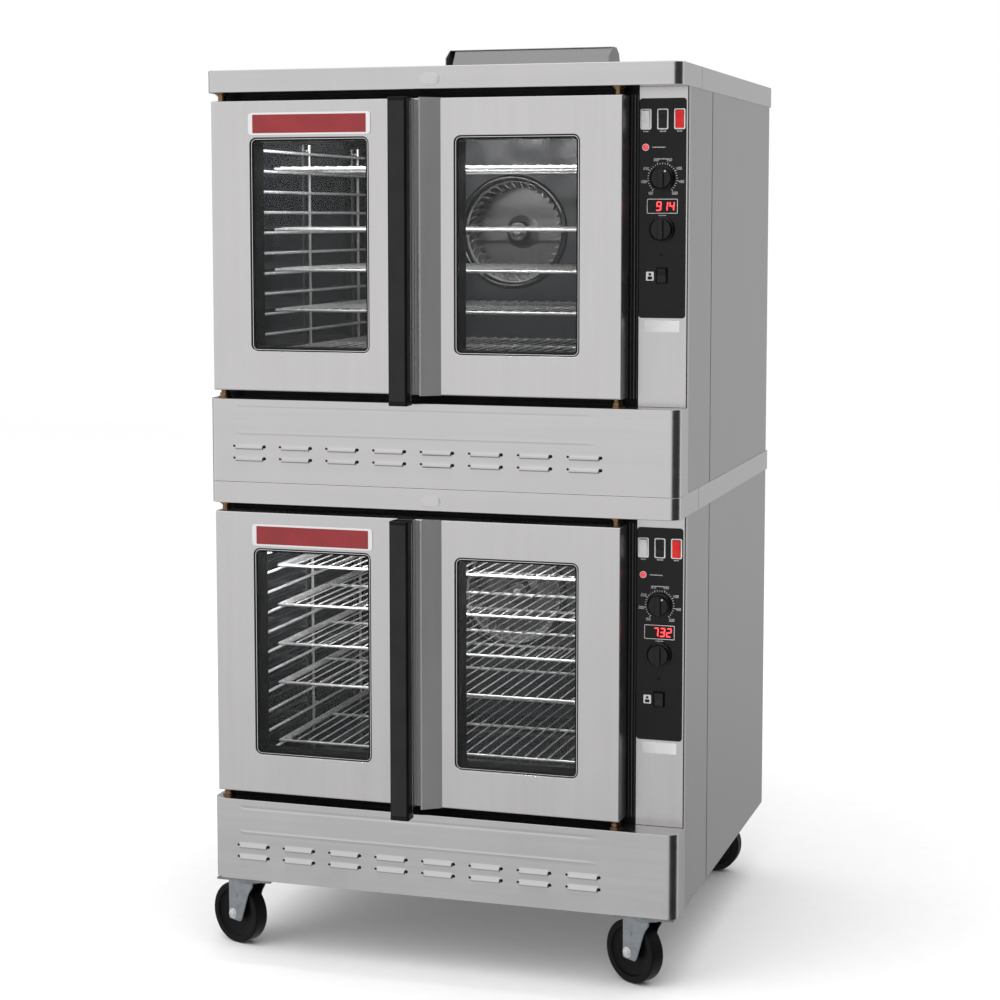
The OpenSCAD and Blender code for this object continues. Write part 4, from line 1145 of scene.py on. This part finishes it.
@dataclass
class Handle(SubAssembly):
    """The full-height black grip of one oven, with a cap at each end."""

    level: Level = Level.LOWER
    x0: float = -83.0
    x1: float = -43.5
    y0: float = -50.0
    y1: float = -14.5

    def build(self) -> None:
        """Makes the grip, its caps, its inset front and the bright bead down its right side."""
        cx, cy = (self.x0 + self.x1) / 2, (self.y0 + self.y1) / 2
        w, d = self.x1 - self.x0, self.y1 - self.y0
        z0, z1 = self.level.base + 168, self.level.base + BODY.door_z1
        shape = Shape()
        shape.prism(round_rect(w - 1, d - 1, 5, 8, (cx, cy)), Axis.Z, z0, z1 - 1, 0.5)
        shape.prism(round_rect(w - 8, 3, 1, 3, (cx, self.y0 + 1.75)), Axis.Z, z0 + 6, z1 - 7, 0.4, 1)
        for low, high in ((z0 - 3, z0 + 3), (z1 - 5, z1)):
            shape.prism(round_rect(w, d, 6, 8, (cx, cy)), Axis.Z, low, high, 1.2)
        shape.block((cx - 8, self.y1 - 4, z0 + 56), (cx + 8, -14.1, z1 - 40), 1.0)
        shape.block((self.x1 - 1.2, self.y1 - 10.5, z0 + 5), (self.x1 - 0.2, self.y1 - 8.6, z1 - 7), 0.3, 2)
        nodes = (f"handle_{self.level.label}",)
        looks = (Look.GRIP, Look.GRIP_FRONT, Look.CHROME)
        body = f"left_door_{self.level.label}"
        self.piece(shape, f"grip_{self.level.label}", looks, body, "grip_black", nodes)


SEGMENTS: dict[str, str] = {
    "0": "abcdef", "1": "bc", "2": "abged", "3": "abgcd", "4": "fgbc", "5": "afgcd", "6": "afgedc", "7": "abc",
    "8": "abcdefg", "9": "abcfgd",
}


@dataclass
class Controls(SubAssembly):
    """The control plate of one oven with its switches, knobs, lamp and display."""

    level: Level = Level.LOWER
    reading: str = "732"
    plate: tuple[float, float, float] = (91.0, 417.0, 6.0)
    plate_z: float = 338.0
    rim: float = 2.4
    rockers: tuple[tuple[str, float, Look], ...] = (
        ("light", -32.8, Look.WHITE), ("mode", 0.0, Look.SWITCH_BLACK), ("power", 32.8, Look.SWITCH_RED),
    )

    def build(self) -> None:
        """Makes the plate, its marks, the display and every control."""
        tag = self.level.label
        looks = (Look.PANEL, Look.BEZEL, Look.BLACK)
        self.piece(self.face(), f"control_plate_{tag}", looks, "casing", "black_panel", ("control_faceplates",))
        self.piece(self.marks(), f"dial_marks_{tag}", (Look.MARK, Look.BLACK), "casing", "switch_white")
        looks = (Look.PANEL, Look.MARK, Look.DIGIT, Look.LAMP, Look.CHROME)
        self.piece(self.display(), f"display_{tag}", looks, "casing", "lamp_red", ("displays_and_lamps",))
        slots = {Look.WHITE: "switch_white", Look.SWITCH_BLACK: "switch_black", Look.SWITCH_RED: "switch_red"}
        for name, off, look in self.rockers:
            shape = self.rocker(BODY.plate_cx + off, 715.5, 15.5, 33.0)
            node = f"{name}_switch_{tag}"
            dash = Look.BLACK if look is Look.WHITE else Look.MARK
            self.piece(shape, f"{name}_rocker_{tag}", (look, dash), node, slots[look], (node,))
        shape = self.rocker(BODY.plate_cx, 419.5, 17.0, 26.0)
        node = f"fan_switch_{tag}"
        self.piece(shape, f"fan_rocker_{tag}", (Look.SWITCH_BLACK, Look.MARK), node, "switch_black", (node,))
        for name, z, r, pointer in (("temp", 604.0, 23.7, 32.0), ("timer", 507.0, 24.5, 0.0)):
            node = f"{name}_knob_{tag}"
            shape, looks = self.knob(z, r, pointer), (Look.KNOB, Look.MARK)
            self.piece(shape, f"{name}_dial_{tag}", looks, node, "knob_black", (node,))

    def face(self) -> Shape:
        """The black plate, the frames round its switches and the control bodies behind it.

        Returns:
            The plate with its fittings.
        """
        w, h, r = self.plate
        base, y = self.level.base, BODY.plate_y
        shape = Shape()
        outline = round_rect(w, h, r, 6, (BODY.plate_cx, base + self.plate_z + h / 2))
        shape.prism(outline, Axis.Y, y, y + 1.5, 0.4)
        spots = [(BODY.plate_cx + off, 715.5, 21.5, 39.0, 1) for _, off, _ in self.rockers]
        for x, z, bw, bh, mark in [*spots, (BODY.plate_cx, 419.5, 23.0, 32.0, 2)]:
            outer = round_rect(bw, bh, 3, 4, (x, base + z))
            inner = round_rect(bw - 2 * self.rim, bh - 2 * self.rim, 1, 4, (x, base + z))
            steps = [(inner, 0.3), (inner, -2.0), (inset(outer, 1.4), -2.5)]
            steps += [(inset(outer, 0.3), -2.0), (outer, -1.4), (outer, 0.3)]
            shape.ring([(outline, y + out) for outline, out in steps], Axis.Y, mark)
        for z in (604.0, 507.0):
            pot = [(0.0, 3.1), (0.0, 11.0), (13.4, 11.0), (14.0, 10.4), (14.0, 3.1)]
            shape.lathe(pot, Axis.Y, (BODY.plate_cx, BODY.frame_y, base + z), 2, 32, closed=True)
        eyelet = [(-0.5, 1.2), (-0.5, 2.6), (-0.1, 3.1), (0.2, 3.1), (0.2, 1.2)]
        return shape.lathe(eyelet, Axis.Y, (434, y, base + 459), 2, 24, closed=True)

    def digits(
        self, text: str, x: float, z: float, height: float, depth: tuple[float, float], mark: int
    ) -> Shape:
        """Figures made of seven bars each, centred at x and z.

        Args:
            text: The figures.
            x: Middle of the text.
            z: Middle of the figures.
            height: Height of a figure.
            depth: Where the bars start and end in y.
            mark: Finish number.

        Returns:
            The bars.
        """
        w, t = height * 0.5, height * 0.13
        half, q = w / 2, height / 4
        bars = {
            "a": (0, 2 * q, w, t), "g": (0, 0, w, t), "d": (0, -2 * q, w, t), "f": (-half, q, t, 2 * q),
            "b": (half, q, t, 2 * q), "e": (-half, -q, t, 2 * q), "c": (half, -q, t, 2 * q),
        }
        shape = Shape()
        for i, figure in enumerate(text):
            at = x + (i - (len(text) - 1) / 2) * height * 0.82
            for name in SEGMENTS[figure]:
                bx, bz, bw, bh = bars[name]
                outline = round_rect(bw, bh, t * 0.3, 1, (at + bx + bz * 0.12, z + bz))
                shape.prism(outline, Axis.Y, depth[0], depth[1], 0.02, mark, 1)
        return shape

    def marks(self) -> Shape:
        """Printed marks: a scale round the upper knob, a white field by the small switch, and rows of bars.

        Bar i of the scale is turned by 10 i - 140 degrees, and every fourth bar is long and has a number.

        Returns:
            The marks.
        """
        shape = Shape()
        y = BODY.plate_y
        z, inner = self.level.base + 604.0, 26.6
        for i, turn in enumerate(np.linspace(-140, 140, 29)):
            reach = 4.6 if i % 4 == 0 else 2.8
            bar = Shape().block((-0.5, y - 0.12, inner), (0.5, y + 0.05, inner + reach), 0.05)
            shape.take(bar, turn_about(Axis.Y, turn), (BODY.plate_cx, 0, z))
            if i % 4 == 0:
                cx = BODY.plate_cx + 37.0 * math.sin(math.radians(turn))
                cz = z + 37.0 * math.cos(math.radians(turn))
                shape.take(self.digits(str(150 + 50 * (i // 4)), cx, cz, 4.6, (y - 0.1, y + 0.05), 0))
        base = self.level.base
        shape.prism(round_rect(15, 17, 1, 3, (412, base + 418)), Axis.Y, y - 0.12, y + 0.05, 0.03)
        for w, h, z in ((9.0, 6.0, 414.5), (5.0, 5.0, 421.5)):
            shape.prism(round_rect(w, h, 1.4, 3, (412, base + z)), Axis.Y, y - 0.2, y - 0.05, 0.03, 1)
        under = [(BODY.plate_cx + off, 692.5, w) for (_, off, _), w in zip(self.rockers, (11, 13, 11))]
        for x, z, w in [*under, (BODY.plate_cx, 640.5, 30), (BODY.plate_cx, 533.5, 16), (428, 662.5, 26)]:
            for i in range(int(w / 2.6)):
                bar = round_rect(1.5, 2.0, 0.3, 1, (x - w / 2 + 1.3 + i * 2.6, base + z))
                shape.prism(bar, Axis.Y, y - 0.1, y + 0.05, 0.02, 0, 1)
        return shape

    def display(self) -> Shape:
        """The reading's window in its thin frame, the lit figures and the lamp with its ring.

        Returns:
            The display and the lamp.
        """
        base, y, z = self.level.base, BODY.plate_y, 551.0
        shape = Shape()
        outer = round_rect(60, 28, 2, 4, (BODY.plate_cx, base + z))
        inner = inset(outer, 1.3)
        shape.prism(outer, Axis.Y, y - 0.8, y + 0.2, 0.2)
        steps = [(inner, -0.7), (inset(outer, 1.0), -1.2), (inset(outer, 0.3), -1.2)]
        steps += [(outer, -0.9), (outer, -0.2), (inner, -0.2)]
        shape.ring([(outline, y + out) for outline, out in steps], Axis.Y, 1)
        shape.take(self.digits(self.reading, BODY.plate_cx + 6, base + z, 15.5, (y - 1.05, y - 0.6), 2))
        spot = (402.7, y, base + 662.5)
        dome = [(0.1, 5.6), (-1.6, 5.4), (-2.8, 4.4), (-3.6, 2.8), (-4.0, 0.9)]
        shape.lathe(dome, Axis.Y, spot, 3, 32)
        ring = [(0.1, 5.5), (0.1, 7.4), (-1.0, 7.3), (-1.7, 6.6), (-1.7, 5.8), (-1.2, 5.5)]
        return shape.lathe(ring, Axis.Y, spot, 4, 32, closed=True)

    def rocker(self, x: float, z: float, w: float, h: float) -> Shape:
        """A rocker tipped back at its top: its side view, hollowed by a circle of 35, carried across.

        Args:
            x: Middle of the switch.
            z: Middle of the switch above the oven's base.
            w: Width.
            h: Height.

        Returns:
            The rocker with a small mark on its upper half.
        """
        up = np.linspace(-h / 2, h / 2, 17)
        front = -8.0 + np.clip(np.sqrt(35.0**2 - up**2) - 34, 0, None)
        side = np.concatenate([np.stack([front, up], -1), [[5, h / 2], [5, -h / 2]]])
        tilted = Shape().prism(side, Axis.X, -w / 2, w / 2, 0.7)
        tilted.block((-0.7, -7.3, h * 0.18), (0.7, -6.85, h * 0.36), 0.1, 1)
        tilted.block((-w * 0.2, -7.4, -h * 0.32), (w * 0.2, -6.9, -h * 0.27), 0.1, 1)
        return Shape().take(tilted, turn_about(Axis.X, 5), (x, 60.0, self.level.base + z))

    def knob(self, z: float, r: float, pointer: float) -> Shape:
        """A turned skirt, a domed body, a finger bar and a white pointer.

        Args:
            z: Height of its axis above the oven's base.
            r: Radius of the skirt.
            pointer: Turn of the pointer from upright, in degrees.

        Returns:
            The knob with its shaft.
        """
        y = BODY.plate_y
        spot = (BODY.plate_cx, y, self.level.base + z)
        body = [(-1.0, r - 0.8), (-1.6, r), (-5.6, r - 0.4), (-6.4, r - 1.4), (-7.0, r - 3.0)]
        body += [(-13.5, r - 4.4), (-15.3, r - 5.2), (-16.0, r - 6.8)]
        shape = Shape().lathe(body, Axis.Y, spot, 0, 64)
        shape.lathe([(-1.5, 3.0), (16.2, 3.0)], Axis.Y, spot, 0, 24)
        bar = Shape().prism(round_rect(11.5, 2 * r - 9, 5.2, 8), Axis.Y, -21, -10, 1.4)
        shape.take(bar, None, spot)
        dot = Shape().lathe([(-16.25, 1.9), (-15.7, 1.9)], Axis.Y, (0, 0, r - 8.5), 1, 16)
        return shape.take(dot, turn_about(Axis.Y, pointer), spot) if pointer else shape


@dataclass
class Chamber(SubAssembly):
    """The baking chambers: liner, rack guides, baffle with its inlet ring, blower wheels and racks."""

    fan_z: float = 498.0
    baffle_y: float = 677.0
    blades: int = 36

    def build(self) -> None:
        """Dresses the chamber's sheet and wire and adds the rolled inlet rings."""
        self.carry(Look.PORCELAIN, "oven_liners")
        self.carry(Look.BAFFLE, "fan_baffles")
        self.carry(Look.WIRE, "rack_guides")
        for level in Level:
            body, nodes = f"blower_{level.label}", (f"blower_wheel_{level.label}",)
            self.piece(self.blower(level), body, (Look.FAN, Look.FAN_BACK), body, "blower_aluminised", nodes)
            self.carry(Look.WIRE, *(f"rack_{level.label}_{i}" for i in range(1, 6)))
            self.piece(self.inlet(level), f"inlet_ring_{level.label}", (Look.RING,), "casing", "porcelain")

    def blower(self, level: Level) -> Shape:
        """A squirrel-cage wheel: curved blades between a rolled front rim and a back disc with its hub, the
        disc and hub painted darker as shade inside the cage.

        A blade's plan is an arc, radius r from 99 to 120.5 and turn 14 s^1.5 degrees, of even thickness.

        Args:
            level: The oven that it turns in.

        Returns:
            The wheel and its shaft.
        """
        y, spot = self.baffle_y + 20, (BODY.doors_cx, 0, level.base + self.fan_z)
        shape = Shape()
        rim = [(y, 111), (y, 121), (y + 0.8, 122), (y + 3, 122), (y + 3, 111)]
        shape.lathe(rim, Axis.Y, spot, 0, 96, closed=True)
        shape.lathe([(y + 61, 121), (y + 61.6, 122), (y + 64, 122), (y + 64, 121)], Axis.Y, spot, 1, 96)
        hub = [(y + 18, 17), (y + 19, 21), (y + 21, 22), (y + 54, 22), (y + 60, 34), (y + 61.2, 40)]
        shape.lathe(hub, Axis.Y, spot, 1, 48)
        shape.lathe([(y + 12, 7), (y + 13, 8), (y + 166, 8), (y + 167, 7)], Axis.Y, spot, 0, 32)
        s = np.linspace(0, 1, 5)
        turn, r = np.radians(14 * s**1.5), 99 + 21.5 * s
        arc = np.stack([r * np.cos(turn), r * np.sin(turn)], -1)
        side = np.stack([-np.sin(turn), np.cos(turn)], -1) * 0.8
        outline = np.concatenate([arc - side, (arc + side)[::-1]])
        blade = Shape().prism(outline, Axis.Y, y + 2, y + 61.5, 0.3, 0, 1)
        for i in range(self.blades):
            shape.take(blade, turn_about(Axis.Y, i * 360 / self.blades), spot)
        return shape

    def inlet(self, level: Level) -> Shape:
        """A rolled ring round the fan's inlet: a half round section turned about the fan's axis.

        Args:
            level: The oven that it is in.

        Returns:
            The ring.
        """
        turn = np.linspace(0, np.pi, 11)
        section = [(-7 * math.sin(a), 121 - 7.5 * math.cos(a)) for a in turn]
        spot = (BODY.doors_cx, self.baffle_y + 0.2, level.base + self.fan_z)
        return Shape().lathe(section, Axis.Y, spot, 0, 72, closed=True)


@dataclass
class Caster(SubAssembly):
    """One swivel caster: pressed fork, bolts, swivel race and wheel."""

    corner: str = "fl"
    x: float = -420.0
    y: float = 44.0
    turn: float = -22.0
    trail: float = 36.0
    wheel_r: float = 63.5

    def build(self) -> None:
        """Makes the fork and the wheel and turns both about the swivel axis."""
        turn = turn_about(Axis.Z, self.turn)
        where = (self.x, self.y, 0)
        fork, wheel = Shape().take(self.fork(), turn, where), Shape().take(self.wheel(), turn, where)
        looks = (Look.ZINC, Look.CHROME, Look.BLACK)
        node = f"caster_fork_{self.corner}"
        self.piece(fork, f"fork_{self.corner}", looks, f"fork_{self.corner}", "fork_zinc", (node,))
        node = f"caster_wheel_{self.corner}"
        looks = (Look.RUBBER, Look.ZINC)
        self.piece(wheel, f"wheel_{self.corner}", looks, f"wheel_{self.corner}", "wheel_black", (node,))

    def fork(self) -> Shape:
        """Two pressed legs with folded edges under a domed crown, the axle bolt and its nut.

        Returns:
            The fork, before it is turned to its corner.
        """
        shape = Shape()
        top, t = 140.7, self.trail
        leg = [(-t - 12.5, top - 1), (-t - 12.0, 51.0), (-t + 22, 49.2), (-t + 27, 58)]
        leg += [(9, 112), (20, 128), (21, top - 1)]
        outline = eased(leg, 5, 4)
        for side in (-1, 1):
            low, high = sorted((side * 18.5, side * 21.7))
            shape.prism(outline, Axis.Y, low, high, 1.0)
            edge = np.insert(inset(outline, 1.6)[5:-5], 1, side * 21.4, axis=1)
            shape.tube(edge, 1.1, 8)
            face = side * 21.6
            head = [(face, 10.5), (face + side * 0.9, 10.5), (face + side * 1.1, 9.0)]
            shape.lathe(head, Axis.Y, (-t, 0, self.wheel_r), 1, 32)
            head = [(face + side, 7.6), (face + side * 5.0, 7.6), (face + side * 5.7, 6.4)]
            shape.lathe(head, Axis.Y, (-t, 0, self.wheel_r), 1, 6)
            rivet = [(face - side, 5.0), (face + side * 0.9, 4.6), (face + side * 1.3, 3.4)]
            shape.lathe(rivet, Axis.Y, (-t + 8, 0, self.wheel_r + 40), 0, 24)
        shape.lathe([(-21.5, 5.0), (21.5, 5.0)], Axis.Y, (-t, 0, self.wheel_r), 1, 24)
        bridge = [(-t - 12.5, -21.7), (6, -21.7), (18, -15), (18, 15), (6, 21.7), (-t - 12.5, 21.7)]
        shape.prism(eased(bridge, 4, 4), Axis.Z, top - 5.6, top - 0.4, 1.2)
        crown = [(-6.0, 6.1), (-6.0, 26.0), (-4.5, 28.4), (-2.0, 29.8), (-0.2, 29.6), (-0.2, 6.1)]
        return shape.lathe(crown, Axis.Z, (0, 0, top), 0, 56, closed=True)

    def wheel(self) -> Shape:
        """A solid wheel: its section, with round tread shoulders and a dished web, turned about the axle.

        Returns:
            The wheel with a thin ring in each side.
        """
        r = self.wheel_r
        turn = np.linspace(0, np.pi / 2, 6)
        shoulder = [(12.5 + 3.5 * math.sin(a), r - 3.5 + 3.5 * math.cos(a)) for a in turn]
        web = [(16.0, r - 12), (15.2, r - 14), (12.0, r - 15.5), (10.0, r - 18), (10.0, 19)]
        half = shoulder + web + [(11.0, 17.2), (16.2, 15.6), (17.3, 14.6), (17.3, 5.1)]
        profile = half + [(-h, q) for h, q in reversed(half)]
        shape = Shape().lathe(profile, Axis.Y, (-self.trail, 0, r), 0, 96, closed=True)
        for side in (-1, 1):
            rim = [(side * 9.8, 30.0), (side * 10.5, 30.4), (side * 10.5, 32.2), (side * 9.8, 32.6)]
            shape.lathe(rim, Axis.Y, (-self.trail, 0, r), 0, 72, closed=True)
        return shape


# --- Studio ----------------------------------------------------------------------------


@dataclass(frozen=True)
class Band:
    """A smooth change of the surroundings' strength with how far a ray points along a way."""

    way: tuple[float, float, float]
    low: float
    high: float
    before: float
    after: float

    def factor(self, tree: bpy.types.NodeTree, ray: bpy.types.NodeSocket) -> bpy.types.NodeSocket:
        """Adds the change's nodes: a smooth step of the product of the ray and the way.

        Args:
            tree: The surroundings' nodes.
            ray: Direction of the ray.

        Returns:
            The strength's factor.
        """
        dot = tree.nodes.new("ShaderNodeVectorMath")
        dot.operation = "DOT_PRODUCT"
        dot.inputs[1].default_value = self.way
        tree.links.new(ray, dot.inputs[0])
        step = tree.nodes.new("ShaderNodeMapRange")
        step.interpolation_type = "SMOOTHSTEP"
        ends = {"From Min": self.low, "From Max": self.high, "To Min": self.before, "To Max": self.after}
        for key, value in ends.items():
            step.inputs[key].default_value = value
        tree.links.new(dot.outputs["Value"], step.inputs["Value"])
        return step.outputs[0]


@dataclass
class Studio:
    """Pale floor, soft lights and the camera."""

    bands: tuple[Band, ...] = (
        Band((0.0, 0.0, 1.0), -0.36, -0.12, 0.64, 1.0),
        Band((0.0, 0.0, 1.0), 0.60, 0.92, 1.0, 1.45),
        Band((0.94, -0.34, 0.0), 0.66, 0.80, 1.0, 0.05),
        Band((0.222, 0.968, 0.0), 0.75, 0.95, 1.0, 0.60),
        Band((-0.62, 0.78, 0.0), 0.88, 0.96, 1.0, 0.08),
    )
    lens: float = 78.861
    place: tuple[float, float, float] = (1.39911, -4.47499, 1.49929)
    yaw: float = 17.271
    pitch: float = 5.263
    shift_y: float = -0.08

    def build(self) -> None:
        """Lays the floor, hangs the lights and sets the camera."""
        self.floor()
        self.world()
        self.softbox("key_light", (-3.4, -3.8, 2.9), (0.0, 0.0, 0.9), (3.2, 3.4), 60.0)
        self.softbox("top_light", (0.6, -1.2, 4.6), (0.0, 0.0, 1.0), (4.0, 3.2), 50.0)
        for level in Level:
            base, x = level.base * MM, -0.035
            place, aim = (x, -0.365, base + 0.712), (x, -0.05, base + 0.42)
            self.softbox(f"oven_lamp_{level.label}", place, aim, (0.66, 0.03), 4.2)
        for name in ("key_light", "top_light"):
            bpy.data.objects[name].visible_glossy = False
        self.camera()

    def floor(self) -> None:
        """A wide pale floor, gently waved by less than a hair so that it is a computed surface."""
        line = np.linspace(-9000, 9000, 25)
        x, y = np.meshgrid(line, line, indexing="ij")
        top = np.stack([x, y + 1500, -0.05 + 0.04 * np.cos(x / 900) * np.cos(y / 900)], -1)
        shape = Shape()
        under = top - [0, 0, 20]
        rings = np.concatenate([top, under[:, ::-1]], 1)
        made = shape.loft(rings).build("studio_floor")
        made.data.materials.append(Look.FLOOR.material)
        made.visible_glossy = False

    def world(self) -> None:
        """White surroundings, dimmer below, with dark upright bands at the right and behind, as flags give."""
        world = bpy.data.worlds.new("studio")
        bpy.context.scene.world = world
        world.use_nodes = True
        tree = world.node_tree
        ray = tree.nodes.new("ShaderNodeTexCoord").outputs["Generated"]
        strength, *others = [band.factor(tree, ray) for band in self.bands]
        for other in others:
            power = tree.nodes.new("ShaderNodeMath")
            power.operation = "MULTIPLY"
            tree.links.new(strength, power.inputs[0])
            tree.links.new(other, power.inputs[1])
            strength = power.outputs[0]
        dim = tree.nodes["Background"]
        dim.inputs["Color"].default_value = (1.0, 0.99, 0.995, 1.0)
        tree.links.new(strength, dim.inputs["Strength"])
        white = tree.nodes.new("ShaderNodeBackground")
        white.inputs["Color"].default_value = (1.0, 1.0, 1.0, 1.0)
        seen = tree.nodes.new("ShaderNodeLightPath").outputs["Is Camera Ray"]
        mix = tree.nodes.new("ShaderNodeMixShader")
        tree.links.new(seen, mix.inputs[0])
        tree.links.new(dim.outputs[0], mix.inputs[1])
        tree.links.new(white.outputs[0], mix.inputs[2])
        tree.links.new(mix.outputs[0], tree.nodes["World Output"].inputs[0])

    def softbox(
        self, name: str, place: Sequence[float], aim: Sequence[float], size: tuple[float, float], watts: float
    ) -> None:
        """Hangs one rectangular soft light.

        Args:
            name: The light's name.
            place: Where it hangs, in metres.
            aim: What it points at.
            size: Its width and height.
            watts: Its power.
        """
        lamp = bpy.data.lights.new(name, "AREA")
        lamp.shape, lamp.size, lamp.size_y, lamp.energy = "RECTANGLE", size[0], size[1], watts
        made = bpy.data.objects.new(name, lamp)
        bpy.context.scene.collection.objects.link(made)
        made.location = place
        direction = Vector(aim) - Vector(place)
        made.rotation_euler = direction.to_track_quat("-Z", "Y").to_euler()

    def camera(self) -> None:
        """Sets the camera before the right front, level with the upper door."""
        data = bpy.data.cameras.new("camera")
        data.sensor_width, data.lens, data.shift_y = 36.0, self.lens, self.shift_y
        data.clip_start, data.clip_end = 0.1, 60.0
        made = bpy.data.objects.new("camera", data)
        bpy.context.scene.collection.objects.link(made)
        made.location = self.place
        made.rotation_euler = (math.radians(90 - self.pitch), 0.0, math.radians(self.yaw))
        bpy.context.scene.camera = made
        bpy.context.scene.view_settings.view_transform = "Standard"


def main() -> None:
    """Builds the sub-assemblies in order, then the studio."""
    groups: list[SubAssembly] = [Casing()]
    for level, reading in ((Level.LOWER, "732"), (Level.UPPER, "914")):
        groups += [LouvreCover(level), Controls(level, reading), Handle(level)]
        groups += [Door(level, side) for side in Side]
    groups.append(Chamber())
    places = (("fl", -420, 44, -22), ("fr", 420, 44, -30), ("rl", -420, 840, -26), ("rr", 420, 840, -4))
    groups += [Caster(corner, x, y, turn) for corner, x, y, turn in places]
    for group in groups:
        group.build()
        group.report()
    Studio().build()


if __name__ == "__main__":
    main()
